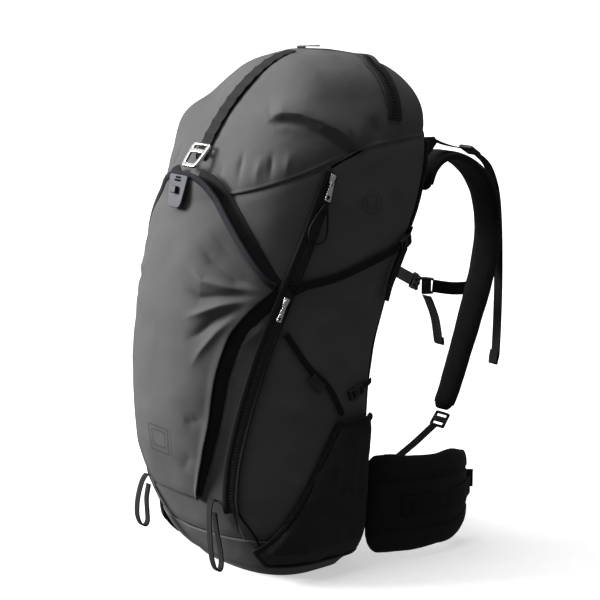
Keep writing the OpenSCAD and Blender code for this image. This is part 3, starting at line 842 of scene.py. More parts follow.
def add_lid():
    t = ring_angles(560)
    phi = np.radians(np.linspace(0, 89.2, 170))
    p = np.array([lid(t, np.full(len(t), np.sin(a))) for a in phi])
    lip = p[0] + unit(p[0] - np.array([0, 40, p[0, :, 2].mean()]) * [1, 1, 0]
                      - p[0] * [0, 0, 1]) * 1.5
    p = np.concatenate([(lip - [0, 0, 4.6])[None], (lip - [0, 0, 2.0])[None], p])
    relief = ripple(p, 75, 1.8, 2.2) + ripple(p, 28, .4, 9.1)
    relief += swell(p, (-98, -45, 588), (34, 32, 32), 11.0)
    relief += swell(p, (-68, -4, 612), (36, 36, 26), -9.0)
    relief += swell(p, (20, 62, 640), (40, 40, 20), 3.0)
    relief += swell(p, (118, 60, 600), (26, 50, 30), -4.0)
    roll = [[70, -38, 576], [75, -31, 586], [88, -19, 589], [105, -4, 587], [121, 14, 577],
            [128, 38, 563], [131, 64, 548], [132, 80, 541]]
    under = [[84, -36, 566], [102, -20, 568], [118, 2, 561], [128, 28, 551]]
    relief += overhang(p, roll, 26, 3.8, 8.0, 2.6, ends=.2)
    relief += fold(p, under, 17, -5.0, ends=.45)
    for line, w, h in (([[102, -54, 508], [97, -47, 556]], 4, -3.0),
                       ([[70, -78, 500], [60, -62, 560]], 4, -2.8),
                       ([[88, -66, 503], [88, -56, 548]], 5, 2.2),
                       ([[44, -90, 500], [36, -78, 548]], 5, -2.2),
                       ([[114, -40, 516], [112, -30, 552]], 5, 1.8),
                       ([[129, 60, 538], [128, 44, 572]], 5, -4.0),
                       ([[130, 100, 546], [130, 90, 590]], 7, -4.0),
                       ([[-40, -92, 502], [-34, -80, 548]], 5, -2.5),
                       ([[-64, -82, 502], [-54, -66, 552]], 5, -2.8),
                       ([[-100, -56, 510], [-92, -44, 556]], 6, -2.6),
                       ([[-120, 30, 545], [-116, 30, 580]], 8, -4.0),
                       ([[60, 180, 560], [58, 160, 600]], 9, -3.0),
                       ([[-70, 175, 560], [-62, 150, 600]], 9, -3.0)):
        relief += fold(p, line, w, h, ends=.5)
    relief[0] = np.minimum(relief[0], 0)
    relief[1] = np.minimum(relief[1], 0)
    shell("lid_cloth", p, WALL, SHELL, "lid", ["lid_shell"], wrap=True,
          relief=relief)


def add_lid_hinge():
    """Cloth strip that joins the lid's back edge to the bag."""
    t = np.linspace(62, 118, 60)
    low = [bag(t, np.full(len(t), lv), .5) for lv in np.linspace(517, SEAM_LV, 12)]
    high = [lid(t, np.full(len(t), q), .9) for q in np.linspace(.015, .16, 16)]
    strip = shell("lid_hinge_cloth", np.array(low + high), .8, LINING_AND_SHADE, None)
    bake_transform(strip)


add_lid()
add_lid_hinge()


# ---------------------------------------------------------------- front pocket
def pocket_line(points):
    return np.array([pocket(u, v) for u, v in points])


def add_front_pocket():
    u = np.linspace(-1, 1, 190)
    v = np.linspace(0, 1, 230)
    uu, vv = np.meshgrid(u, v)
    p = pocket(uu, vv)
    relief = ripple(p, 60, 1.6, 4.4)
    creases = (([(.99, .985), (.84, .93), (.62, .88), (.36, .86)], 8, -5.0),
               ([(.99, .98), (.84, .90), (.62, .81), (.34, .78)], 5, 4.5),
               ([(.99, .97), (.84, .87), (.64, .76), (.36, .70)], 7, -6.0),
               ([(.98, .95), (.84, .83), (.66, .71), (.44, .62)], 5, 5.0),
               ([(.97, .93), (.86, .79), (.72, .66), (.52, .56)], 7, -5.5),
               ([(.96, .90), (.90, .76), (.80, .63), (.66, .50)], 5, 3.5),
               ([(.92, .99), (.70, .95), (.45, .93)], 9, -2.0),
               ([(.95, .40), (.80, .34), (.62, .30)], 9, -2.2),
               ([(.95, .20), (.78, .18), (.60, .10)], 9, -2.0))
    for line, w, h in creases:
        relief += fold(p, pocket_line(line), w, h, ends=.4)
        mirrored = pocket_line(line) * np.array([-1, 1, 1])
        relief += fold(p, mirrored, w, h * .25, ends=.4)
    relief += 2.4 * np.exp(-((1 - np.abs(uu)) / .05) ** 2) * (1 - vv ** 4)
    relief[0] -= 1.0
    cloth = shell("front_pocket_cloth", p, WALL, SHELL, "front_pocket",
                  ["front_pocket_panel"], relief=relief)
    seam = p[3, 4:-4] + np.array([0, -.4, 0])
    sewing("pocket_seam_stitches", stitch_line(seam, grid_normals(p)[3, 4:-4], 2.6, 1.4, .3, .9),
           "front_pocket")


def add_gusset(side):
    v = np.linspace(.02, .985, 150)
    edge = pocket(np.ones(len(v)), v, -WALL)
    wide = 4.5 + 9 * v ** 1.5
    lv = level_of(edge[:, 1], edge[:, 2])
    foot = np.stack([edge[:, 0] + wide, front_at(edge[:, 0] + wide, lv) - 2.0, edge[:, 2]], -1)
    f = np.linspace(0, 1, 30)[None, :, None]
    bow = np.sin(np.pi * f) * np.array([0, -1.6, 0])
    p = edge[:, None] * (1 - f) + foot[:, None] * f + bow
    p = p * np.array([side, 1, 1])
    name = SIDE_NAMES[side]
    relief = ripple(p, 18, .8, 6.0 * side)
    # The gusset's black cloth is painted shade: it stands in for the shadow on the pocket's side
    # wall.
    cloth = shell("pocket_gusset_cloth_" + name, p, 1.0, LINING_AND_SHADE, "bag",
                  ["pocket_gusset_" + name], flip=side < 0, relief=relief)


def add_mouth_shade_sheet(side):
    """Black sheet on the bag beside the pocket's mouth: painted shade, standing in for the shadowed
    gap between the mouth and the bag.
    """
    x = np.linspace(16, 124, 160)
    top = mouth_z(x)
    name = SIDE_NAMES[side]
    rows = []
    for k in np.linspace(-8, 11, 16):
        z = top + k * (1.0 - .35 * (x / 124) ** 4)
        xx = x + .6 * k * (1 - (x / 126) ** 8)
        lv = level_of(front_at(xx, z), z)
        rows.append(np.stack([xx, front_at(xx, np.minimum(lv, SEAM_LV)) - 1.3, z], -1))
    p = np.array(rows) * np.array([side, 1, 1])
    cloth = shell("pocket_mouth_shade_sheet_" + name, p, .9, LINING_AND_SHADE, "bag", (),
                  flip=side < 0, relief=ripple(p, 20, .5, 8.0 * side) + .5)


def add_binding():
    u = np.linspace(-1, 1, 260)
    p = pocket(u, np.ones(len(u)), -WALL / 2) + [0, 0, 1.6]
    p = spaced(p, 260)
    nrm = unit(np.stack([p[:, 0] / 128, -np.ones(len(p)), np.zeros(len(p))], -1))
    rings = sweep(p, nrm, soft_section(8.5, 5.0, 20, .6, .5))
    tube_piece("pocket_edge_binding", [rings], BIND, "front_pocket",
               ["pocket_binding"])
    rows = stitch_line(p + nrm * 2.4 - [0, 0, 2.2], nrm, 2.2, 1.3, .28)
    sewing("pocket_binding_stitches", rows, "front_pocket")


add_front_pocket()
for hand in (1, -1):
    add_gusset(hand)
for hand in (1, -1):
    add_mouth_shade_sheet(hand)
add_binding()


# ---------------------------------------------------------------- flat moulded pieces
def rounded(points, radius, steps=5):
    """Closed outline with its corners rounded."""
    p = np.asarray(points, float)
    out = []
    for i in range(len(p)):
        a, b, c = p[i - 1], p[i], p[(i + 1) % len(p)]
        ra = min(radius, .45 * np.linalg.norm(a - b), .45 * np.linalg.norm(c - b))
        s, e = b + unit(a - b) * ra, b + unit(c - b) * ra
        for f in np.linspace(0, 1, steps):
            out.append((1 - f) ** 2 * s + 2 * f * (1 - f) * b + f * f * e)
    return out


def oblong(cx, cy, w, h, radius=.8):
    box = [[cx - w / 2, cy - h / 2], [cx + w / 2, cy - h / 2],
           [cx + w / 2, cy + h / 2], [cx - w / 2, cy + h / 2]]
    return rounded(box, radius)


def plate(name, outlines, thick, axes, origin, mat, body, nodes=(), edge=.8):
    """A moulded plate: its first outline is its edge and the others are openings."""
    curve = bpy.data.curves.new(name, "CURVE")
    curve.dimensions = "2D"
    curve.fill_mode = "BOTH"
    curve.extrude = max(thick / 2 - edge, .01) * MM
    curve.bevel_depth = edge * MM
    curve.bevel_resolution = 3
    curve.offset = -edge * MM
    for outline in outlines:
        line = curve.splines.new("POLY")
        line.points.add(len(outline) - 1)
        line.use_cyclic_u = True
        for point, co in zip(line.points, outline):
            point.co = (co[0] * MM, co[1] * MM, 0, 1)
    flat = bpy.data.objects.new(name + "_outline", curve)
    mesh = bpy.data.meshes.new_from_object(flat)
    bpy.data.objects.remove(flat)
    turn = np.eye(4)
    turn[:3, :3] = np.asarray(axes)
    turn[:3, 3] = np.asarray(origin) * MM
    mesh.transform(Matrix(turn.tolist()))
    mesh.polygons.foreach_set("use_smooth", [True] * len(mesh.polygons))
    mesh.set_sharp_from_angle(angle=math.radians(38))
    mesh.materials.clear()
    mesh.materials.append(mat)
    obj = bpy.data.objects.new(name, mesh)
    scene.collection.objects.link(obj)
    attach(obj, body)
    if nodes:
        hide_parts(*nodes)
    return obj


def tilt_x(degrees):
    a = math.radians(degrees)
    return np.array([[1, 0, 0], [0, math.cos(a), -math.sin(a)], [0, math.sin(a), math.cos(a)]])


PATCH_AT = pocket(0.0, 0.955)
PATCH_TILT = tilt_x(-14)
PATCH_AXES = PATCH_TILT @ tilt_x(90)


def on_patch(out):
    return PATCH_AT + PATCH_TILT @ np.array([0, -out, 0])


def add_patch():
    edge = rounded([[-18.5, 19], [18.5, 19], [14, -16], [10, -22], [-10, -22], [-14, -16]], 4)
    slots = [oblong(0, 15.2, 10, 1.5, .7), oblong(0, 11.6, 12, 1.7, .8)]
    lift = PATCH_AXES @ np.array([0, 0, 1.3])
    plate("hook_patch_moulding", [edge] + slots, 2.6, PATCH_AXES, on_patch(5) + lift, PATCH,
          "front_pocket", ["hook_patch"], edge=.9)
    knob = rounded([[-5, -4.6], [5, -4.6], [4.4, 4.6], [-4.4, 4.6]], 1.6)
    lift = PATCH_AXES @ np.array([0, 0, 2.5])
    plate("catch_knob_moulding", [knob], 5.0, PATCH_AXES, on_patch(7.7) + lift, BLACK,
          "front_pocket", ["catch_knob"], edge=1.1)


add_patch()


# ---------------------------------------------------------------- top strap and hook
def top_point(s, d):
    t = np.where(np.asarray(s) > 0, 270.0, 90.0)
    p = lid_power(t)
    q = np.clip(1 - np.abs(s) ** p, 0, 1) ** (1 / p)
    return lid(t, q, d)


STRAP_END = 0.885
HOOK_AT = top_point(np.float64(STRAP_END), 5.0) + [0, -5, 0]
HOOK_AXES = tilt_x(90 - 42)


def add_top_strap():
    s = np.linspace(-.036, STRAP_END, 500)
    p = spaced(top_point(s, 1.8 + 3.2 * np.clip(s / .6, 0, 1)), 260)
    count = 10
    phase = np.linspace(0, count, len(p))
    n = np.cross([1.0, 0, 0], tangents(p))
    p = p + n * (-.9 + 1.5 * np.abs(np.sin(np.pi * phase)) ** .6)[:, None]
    rings = sweep(p, n, flat_section(20, 1.6, 11))
    drop = [p[-1], p[-1] + [0, -4.5, -7], p[-1] + [0, -5.5, -15], p[-1] + [0, -1.5, -17],
            p[-1] + [0, 1.5, -8]]
    q = spline(drop, 1.0)
    tail = sweep(q, np.cross([1.0, 0, 0], tangents(q)), flat_section(18, 1.5, 9))
    webbing("top_strap_webbing", [rings, tail], "lid", ["top_strap"])
    parts = []
    for k in range(1, count):
        i = int(round(k / count * (len(p) - 1)))
        up, along = n[i], tangents(p)[i]
        for j in range(9):
            a = p[i] + up * 1.0 + np.array([-8.5 + j * 2.1, 0, 0]) - along * .9
            parts.append(stitch_rings(a, a + np.array([1.6, 0, 0]) + along * 1.8, up, .42))
    sewing("top_strap_bar_tacks", parts, "lid")


def add_hook():
    edge = rounded([[-16.6, -12], [-17.4, 5], [17.4, 5], [16.6, -12], [13.8, -31],
                    [-13.8, -31]], 5)
    slots = [oblong(0, -1.0, 23, 5.4, 1.6), rounded([[-11.6, -9.4], [11.6, -9.4], [9.4, -25],
                                                    [-9.4, -25]], 2.6)]
    plate("hook_buckle_casting", [edge] + slots, 4.0, HOOK_AXES, HOOK_AT, STEEL, "hook",
          ["hook_buckle"], edge=1.2)


add_top_strap()
add_hook()


# ---------------------------------------------------------------- zips
def coil_parts(centre, across, out, wide, pitch=2.1, r=.62):
    """The interlocked coil of a zip: short rounded rods across its line."""
    total = np.linalg.norm(np.diff(centre, axis=0), axis=1).sum()
    rows = spaced(np.hstack([centre, across, out]), int(total / pitch))
    parts = []
    for i, row in enumerate(rows):
        c, a, o = row[:3], unit(row[3:6]), unit(row[6:])
        lean = unit(np.gradient(rows[:, :3], axis=0)[i]) * (.5 if i % 2 else -.5)
        parts.append(capsule(c - a * wide / 2 + lean + o * r, c + a * wide / 2 + o * r, r, 6))
    return parts


def rail(centre, nrm, offset, w, t, lift):
    """A narrow band beside a line: offset across it, lift above it."""
    across = unit(np.cross(tangents(centre), nrm))
    path = centre + across * offset + nrm * lift
    return sweep(path, nrm, soft_section(w, t, 14, .7, .7))


def add_side_zip():
    lv = np.linspace(101, 517, 260)
    line = bag(zip_angle(lv), lv, 1.7)
    nrm = bag_normal(zip_angle(lv), lv)
    tape = band(line, nrm, 15, 1.2)
    tube_piece("side_zip_tape_cloth", [tape], ZIP_CLOTH, "bag", ["side_zip_tape"])
    across = unit(np.cross(tangents(line), nrm))
    coil = coil_parts(line + nrm * .4, across, nrm, 4.6)
    tube_piece("side_zip_coil", coil, COIL, "bag")
    # Painted shade, in part: the black flap and lip stand in for the dark shadow gaps along both
    # edges of the zip.
    flap = rail(line, nrm, -8.2, 7.5, 3.6, 1.4)
    lip = rail(line, nrm, 7.4, 3.2, 2.6, 1.2)
    if np.dot(across[130], [1, 0, 0]) < 0:
        flap, lip = rail(line, nrm, 8.2, 7.5, 3.6, 1.4), rail(line, nrm, -7.4, 3.2, 2.6, 1.2)
    tube_piece("side_zip_flap", [flap], ZIP_FLAP_AND_SHADE, "bag")
    tube_piece("side_zip_lip", [lip], ZIP_FLAP_AND_SHADE, "bag")


ZIP_ROUTE = [[7, .2], [9, .5], [13, .7], [21, .82], [45, .87], [90, .88], [135, .87],
             [159, .82], [167, .7], [171, .5], [173, .2]]


def add_lid_zip():
    tq = spline(ZIP_ROUTE, .6)
    line = spaced(lid(tq[:, 0], tq[:, 1], 1.6), 300)
    nrm = spaced(lid_normal(tq[:, 0], tq[:, 1]), 300)
    nrm = unit(nrm - tangents(line) * np.sum(nrm * tangents(line), axis=1, keepdims=True))
    tube_piece("lid_zip_tape_cloth", [band(line, nrm, 16, 1.4)], ZIP_FLAP_AND_SHADE, "lid",
               ["lid_zip_tape"])
    across = unit(np.cross(tangents(line), nrm))
    tube_piece("lid_zip_coil", coil_parts(line + nrm * .5, across, nrm, 4.6), COIL, "lid")
    rails = [rail(line, nrm, s * 8.4, 5.6, 3.4, .7) for s in (-1, 1)]
    tube_piece("lid_zip_flaps", rails, ZIP_FLAP_AND_SHADE, "lid")


def slider_parts(wide, tall):
    """Outline and bridge of a zip slider, in its own plane."""
    body = rounded([[-wide / 2, tall / 2], [wide / 2, tall / 2], [wide / 2 - 1.2, -tall / 2],
                    [-wide / 2 + 1.2, -tall / 2]], 1.8)
    bridge = [[0, tall * .34, 1.4], [0, tall * .3, 3.0], [0, 0, 3.7], [0, -tall * .24, 2.6]]
    return body, np.array(bridge, float)


def add_slider(name, axes, origin, wide, tall, body, node):
    outline, bridge = slider_parts(wide, tall)
    plate(name + "_body", [outline], 3.2, axes, origin + axes @ np.array([0, 0, 1.6]), STEEL,
          body, [node], edge=.8)
    path = spline(origin + bridge @ axes.T, .6)
    side = np.tile(axes[:, 0], (len(path), 1))
    nrm = unit(np.cross(side, tangents(path)))
    tube_piece(name + "_bridge", [sweep(path, nrm, soft_section(3.2, 1.3, 12))], STEEL, body)


def add_zip_hardware():
    axes = zip_axes(UPPER_LV)
    origin = at_zip(UPPER_LV, SLIDER_LIFT, [[0, 0, 0]])[0]
    add_slider("upper_slider", axes, origin, 9, 13, "upper_slider", "upper_zip_slider")
    pull = rounded([[-2.4, -3], [2.4, -3], [4.9, -28], [-4.9, -28]], 2.0)
    slots = [oblong(0, -23.4, 4.6, 5.6, 1.6), oblong(0, -6.6, 1.7, 4.4, .8)]
    top = origin + axes @ np.array([0, 0, 4.6])
    plate("upper_pull_tab", [pull] + slots, 1.6, axes, top, STEEL, "upper_pull",
          ["upper_zip_pull"], edge=.5)
    axes = zip_axes(LOWER_LV)
    origin = at_zip(LOWER_LV, SLIDER_LIFT, [[0, 0, 0]])[0]
    add_slider("lower_slider", axes, origin, 8, 12, "lower_slider", "lower_zip_slider")
    pull = rounded([[-2.0, -3.6], [2.0, -3.6], [3.2, -25], [-3.2, -25]], 1.8)
    plate("lower_pull_tab", [pull, oblong(0, -21, 2.6, 3.6, 1)], 1.5, axes,
          origin + axes @ np.array([0, 0, 4.2]), STEEL, "lower_slider", edge=.5)
    n = lid_normal(136.0, .87)
    u = lid(138.0, .87) - lid(134.0, .87)
    u = unit(u - n * np.dot(u, n))
    axes = np.stack([np.cross(u, n), u, n], -1)
    add_slider("lid_slider", axes, lid(136.0, .87, 5.0), 8, 12, "lid_slider", "lid_zip_slider")
    plate("lid_pull_tab", [pull, oblong(0, -21, 2.6, 3.6, 1)], 1.5, axes,
          lid(136.0, .87, 7.8), STEEL, "lid_slider", edge=.5)


add_side_zip()
add_lid_zip()
add_zip_hardware()


# ---------------------------------------------------------------- embroidered marks
def closed_stitches(points, normals, length=2.0, gap=.9):
    p = np.vstack([points, points[:1]])
    n = np.vstack([normals, normals[:1]])
    return stitch_line(p, n, length, gap, .34, 1.1)


def add_side_mark():
    """A plain ring of stitches with a smaller ring in it."""
    a = np.radians(np.arange(72) * 5)
    parts = []
    for radius in (15.0, 9.0):
        y, z = 81 + radius * np.cos(a), 478 + radius * np.sin(a)
        parts += closed_stitches(side_at(y, z, .6, 1), side_normal(y, z, 1))
    sewing("side_ring_stitches", parts, "bag")


def add_pocket_mark():
    """A plain stitched oblong low on the pocket."""
    parts = []
    for half_u, half_v in ((.30, .042), (.20, .026)):
        outline = np.array(rounded([[-half_u, -half_v], [half_u, -half_v],
                                    [half_u, half_v], [-half_u, half_v]], .02))
        u, v = outline[:, 0] + .04, outline[:, 1] + .19
        p = pocket(u, v, .9)
        n = unit(np.cross(pocket(u + .01, v) - pocket(u - .01, v),
                          pocket(u, v + .01) - pocket(u, v - .01)))
        parts += closed_stitches(p, n)
    sewing("pocket_oblong_stitches", parts, "front_pocket")


add_side_mark()
add_pocket_mark()


# ---------------------------------------------------------------- mesh side pockets
def add_mesh_pocket(side):
    name = SIDE_NAMES[side]
    z = np.linspace(24, 206, 90)
    front = np.maximum(prof(2, z) + 22, -77 + .59 * (z - 39))
    f = np.linspace(0, 1, 70)
    rows = []
    for k, zz in enumerate(z):
        y = front[k] + (74 - front[k]) * f
        low = np.clip((zz - 22) / 26, 0, 1)
        edge = np.minimum(1, np.minimum(f, 1 - f) / .10)
        stand = 3 + 8 * low * (.35 + .65 * np.sin(edge * np.pi / 2))
        rows.append(side_at(y, np.full(len(y), zz), 0, side)
                    + side_normal(y, np.full(len(y), zz), side) * stand[:, None])
    p = np.array(rows)
    relief = ripple(p, 26, 1.6, 2.9 * side)
    for y0 in (-62, -40, -12, 18, 44):
        a, b = side_at([y0 * .9, y0], [60, 206], 10, side)
        relief += fold(p, [a, b], 6, 2.0, ends=.5)
    net = shell("mesh_pocket_net_" + name, p, 1.1, NET, "bag",
                ["mesh_pocket_" + name], flip=side < 0, relief=relief)
    n = grid_normals(p) * side
    edges = [np.vstack([p[::-1, 0], p[0], p[:, -1]]), p[-1]]
    norms = [np.vstack([n[::-1, 0], n[0], n[:, -1]]), n[-1]]
    rings = [sweep(spaced(e, 200), unit(spaced(m, 200)), soft_section(7, 3.4, 16, .6, .6))
             for e, m in zip(edges, norms)]
    binding = webbing("mesh_pocket_binding_" + name, rings)


for hand in (1, -1):
    add_mesh_pocket(hand)


# ---------------------------------------------------------------- compression straps
def ladder_lock(name, axes, origin, long, wide, thick, body, node):
    """A moulded ladder buckle: frame, crossbars with grip and a lifted lip."""
    edge = rounded([[-wide / 2, -long / 2], [wide / 2, -long / 2], [wide / 2 - .8, long / 2],
                    [-wide / 2 + .8, long / 2]], 2.6)
    gap = long * .17
    slots = [oblong(0, k * long * .26, wide - 6, gap, .8) for k in (-1, 1)]
    plate(name, [edge] + slots, thick, axes, origin, BLACK, body, [node], edge=.9)
    parts = []
    for k in (-.06, .06, .46, -.44):
        c = np.array([0, k * long, thick * .46])
        half = np.array([wide / 2 - 3.4, 0, 0])
        parts.append(capsule(origin + axes @ (c - half), origin + axes @ (c + half), .8, 8))
    tube_piece(name + "_bars", parts, BLACK, body)


def side_axes(y, z, side, lean):
    """Columns: across the strap, along it, out of the cloth."""
    n = side_normal(y, z, side)
    up = unit(np.array([0, 0, 1.0]) - n * n[2])
    across = np.cross(up, n)
    a = math.radians(side * lean)
    v = across * math.cos(a) + up * math.sin(a)
    w = -across * math.sin(a) + up * math.cos(a)
    return np.stack([w, v if side > 0 else v, n], -1)


def tack(p, nrm, along, w, rows=2):
    """Bar tacks across a strap at a point."""
    across = np.cross(along, nrm)
    parts = []
    for j in range(rows):
        for k in range(int(w / 2)):
            a = p + across * (-w / 2 + 1 + k * 2) + along * (j * 4 - 2) + nrm * .9
            parts.append(stitch_rings(a, a + across * 1.5 + along * 1.6, nrm, .35))
    return parts


UPPER_RUNS = (([[-46, 386], [-20, 388], [26, 393], [84, 407], [120, 417]], 4.4),
              ([[143, 426], [152, 429], [158, 433]], 4.4),
              ([[128, 416], [121, 405], [112, 390], [100, 372], [92, 352]], 8.5))
LOWER_RUNS = (([[-54, 330], [-26, 286], [6, 253], [27, 216]], 4.4),
              ([[58, 247], [68, 250], [74, 252]], 4.4))


def side_webbing(level, runs, wide, side, node):
    """Straps laid on the side panel, each with its tacks; runs hold a path and its lift."""
    parts, tacks = [], []
    for points, lift in runs:
        p, n = side_line(points, lift, side)
        parts.append(band(p, n, wide, STRAP_T))
        tacks += tack(p[2], n[2], tangents(p)[2], wide)
    name = SIDE_NAMES[side]
    webbing(f"{level}_webbing_{name}", parts, "bag", [f"{node}_{name}"])
    sewing(f"{level}_webbing_tacks_{name}", tacks)


def side_lock(piece, y, z, wide, side, node):
    name = SIDE_NAMES[side]
    ladder_lock(f"{piece}_{name}", side_axes(y, z, side, 20), side_at(y, z, 5.8, side), 24,
                wide, 4.6, "bag", f"{node}_{name}")


def add_compression(side):
    side_webbing("upper", UPPER_RUNS, 11, side, "upper_strap")
    side_lock("upper_lock", 132.0, 421.0, 17, side, "upper_buckle")
    side_webbing("lower", LOWER_RUNS, 8, side, "side_strap")
    side_lock("lower_lock_side", 46.0, 242.0, 15, side, "side_buckle")


def add_tag():
    p, n = side_line([[-22, 272], [-14, 262], [-6, 254]], 6.4, 1, .6)
    tube_piece("blank_tag", [band(p, n, 13, .9)], TAG, "bag", ["woven_tag"])
    across = unit(np.cross(tangents(p), n))
    rows = []
    for s in (-1, 1):
        rows += stitch_line(p + across * s * 5.4 + n * .4, n, 1.6, .9, .22)
    tube_piece("blank_tag_stitches", rows, PALE_THREAD, "bag")


for hand in (1, -1):
    add_compression(hand)
add_tag()


# ---------------------------------------------------------------- loops
def add_gear_loop(side, drop, out):
    name = SIDE_NAMES[side]
    y0 = float(front_at(70.0, 112.0)) - 4.5
    shape = [[.5, 0], [-4, 1], [-8 - out * .3, -8], [-9 - out * .8, -28], [-8 - out, -50],
             [-3 - out, -64], [4 - out, -68], [8 - out, -62], [7 - out, -48], [3 - out * .7, -30],
             [0, -12]]
    pts = [[y0 + y, 116 + z * drop] for y, z in shape]
    p, n = across_x(pts, side * 70)
    twist = np.sin(np.linspace(0, np.pi, len(p))) ** 2 * 3.0
    p = p + np.array([side, 0, 0]) * twist[:, None]
    webbing("gear_loop_webbing_" + name, [band(p, n, 10, 1.8)], "gear_" + name,
            ["gear_loop_" + name])
    rows = tack(p[1], n[1], tangents(p)[1], 10, 2)
    sewing("gear_loop_tacks_" + name, rows, "gear_" + name)


def add_haul_loop():
    a = np.radians(np.linspace(0, 180, 90))
    y = 204 + 3
    p = np.stack([-32 * np.cos(a), y + 9 * np.sin(a), 538 - 32 * np.sin(a)], -1)
    n = np.tile(unit([0, 1, .2]), (len(p), 1))
    webbing("haul_loop_webbing", [band(p, n, 12, 3.0)], "haul", ["haul_loop"])
    rows = stitch_line(p + n * 1.6, n, 2.4, 1.2, .3)
    sewing("haul_loop_stitches", rows, "haul")


add_gear_loop(1, 1.35, 0)
add_gear_loop(-1, 1.0, 9)
add_haul_loop()


# ---------------------------------------------------------------- padded straps
RIGHT_RUN = [[216, 474], [224, 498], [242, 512], [268, 515], [298, 504], [325, 482],
             [342, 450], [347, 408], [339, 366], [326, 328], [306, 280], [287, 236],
             [270, 198], [255, 172]]
LEFT_RUN = [[216, 474], [222, 496], [236, 508], [252, 505], [266, 484], [274, 450],
            [275, 410], [268, 366], [258, 326], [246, 284], [234, 248], [220, 210], [200, 172]]


def pad_rings(p, nrm, widths, thick, size=56):
    """A foam pad along a path: crowned faces, a pinched rim and rounded ends."""
    s = np.linspace(0, 1, len(p))
    length = np.linalg.norm(np.diff(p, axis=0), axis=1).sum()
    tip = np.minimum(s, 1 - s) * length / 16
    close = np.sqrt(np.clip(1 - (1 - np.clip(tip, 0, 1)) ** 2, .02, 1))
    section = soft_section(1, 1, size, .42, .75)
    return sweep(p, nrm, section, widths * (.55 + .45 * close), thick * (.25 + .75 * close))


def add_shoulder(side):
    name = SIDE_NAMES[side]
    run = RIGHT_RUN if side > 0 else LEFT_RUN
    pts = [[y, z, side * 14 * max(0, (510 - z) / 340)] for y, z in run]
    p, n = across_x(pts, side * 74, 2.0)
    s = np.linspace(0, 1, len(p))
    widths = 54 + (54 * .62 - 54) * s ** 1.4
    rings = pad_rings(p, n, widths - 3, 12.0)
    centre = rings.mean(axis=1, keepdims=True)
    out = unit(rings - centre)
    rings = rings + out * ripple(rings, 26, .7, 5.1 * side)[..., None]
    pad = tube_piece("shoulder_pad_" + name, [rings], PAD, "bag",
                     ["shoulder_strap_" + name])
    half = rings.shape[1] // 2
    tapes = [sweep(rings[4:-4, k], np.tile([1.0, 0, 0], (len(p) - 8, 1)) * (1 if k == 0 else -1),
                   soft_section(7.5, 2.6, 14, .6, .7)) for k in (0, half)]
    webbing("shoulder_edge_tape_" + name, tapes)


def add_lifter(side):
    name = SIDE_NAMES[side]
    lock = np.array([300, 518]) if side > 0 else np.array([254, 521])
    end = lock + [-10, 5]
    web, wn = across_x([[228, 540.4], (np.array([232, 539]) + end) / 2 - [0, 2],
                        end + (end - [232, 539]) * .1], side * 86, 1.5)
    parts = [band(web, wn, 16, STRAP_T)]
    tacks = tack(web[3], wn[3], tangents(web)[3], 16)
    if side > 0:
        tail, tn = across_x([[306, 519], [313, 515], [337, 496], [353, 462], [360, 415],
                             [363, 350], [363, 290], [361, 236], [358, 222]], 84, 2.0)
        hem, hn = across_x([[360.4, 236], [358.4, 226], [357.4, 219], [355.6, 219.4],
                            [356.4, 228], [358.4, 237]], 84, 1.0)
        parts += [band(tail, tn, 16, STRAP_T), band(hem, hn, 15.8, 1.5)]
        tacks += tack(tail[-8], tn[-8], tangents(tail)[-8], 14)
    f = np.linspace(0, 1, 40)
    low = np.interp(f, [0, .6, 1], [509, 523, 533])
    high = np.interp(f, [0, .6, 1], [546, 544.5, 543.5])
    spine = np.stack([np.full(40, side * 88.0), 208 + 27 * f, (low + high) / 2], -1)
    wing = sweep(spine, np.tile([1.0, 0, 0], (40, 1)), soft_section(1, 5.4, 36, .5, .7),
                 high - low)
    pad = tube_piece("lifter_wing_" + name, [wing], PAD, "bag",
                     ["load_lifter_" + name])
    webbing("lifter_webbing_" + name, parts)
    sewing("lifter_tacks_" + name, tacks)
    axes = tilt_x(-32 if side > 0 else -28)
    ladder_lock("lifter_ladder_" + name, axes, np.array([side * 85, lock[0] + 3, lock[1] + 1]),
                22, 25, 4.2, "bag", "lifter_lock_" + name)


def add_lower_web(side):
    name = SIDE_NAMES[side]
    lock = [252, 158] if side > 0 else [190, 158]
    pts = [[lock[0] - 8, lock[1] - 8], [92 + (lock[0] - 92) * .68, 128],
           [92 + (lock[0] - 92) * .3, 103], [94, 92], [86, 86]]
    p, n = across_x(pts, side * 84)
    webbing("lower_run_" + name, [band(p, n, 14, STRAP_T)], "bag", ["lower_web_" + name])
    ladder_lock("shoulder_ladder_" + name, tilt_x(52), np.array([side * 88, *lock]), 22, 26,
                4.5, "bag", "lower_lock_" + name)


for hand in (1, -1):
    add_shoulder(hand)
    add_lifter(hand)
    add_lower_web(hand)


# ---------------------------------------------------------------- back padding
def back_y(z):
    lv = z
    for _ in range(4):
        lv = level_of(prof(3, lv), z)
    return prof(3, lv)


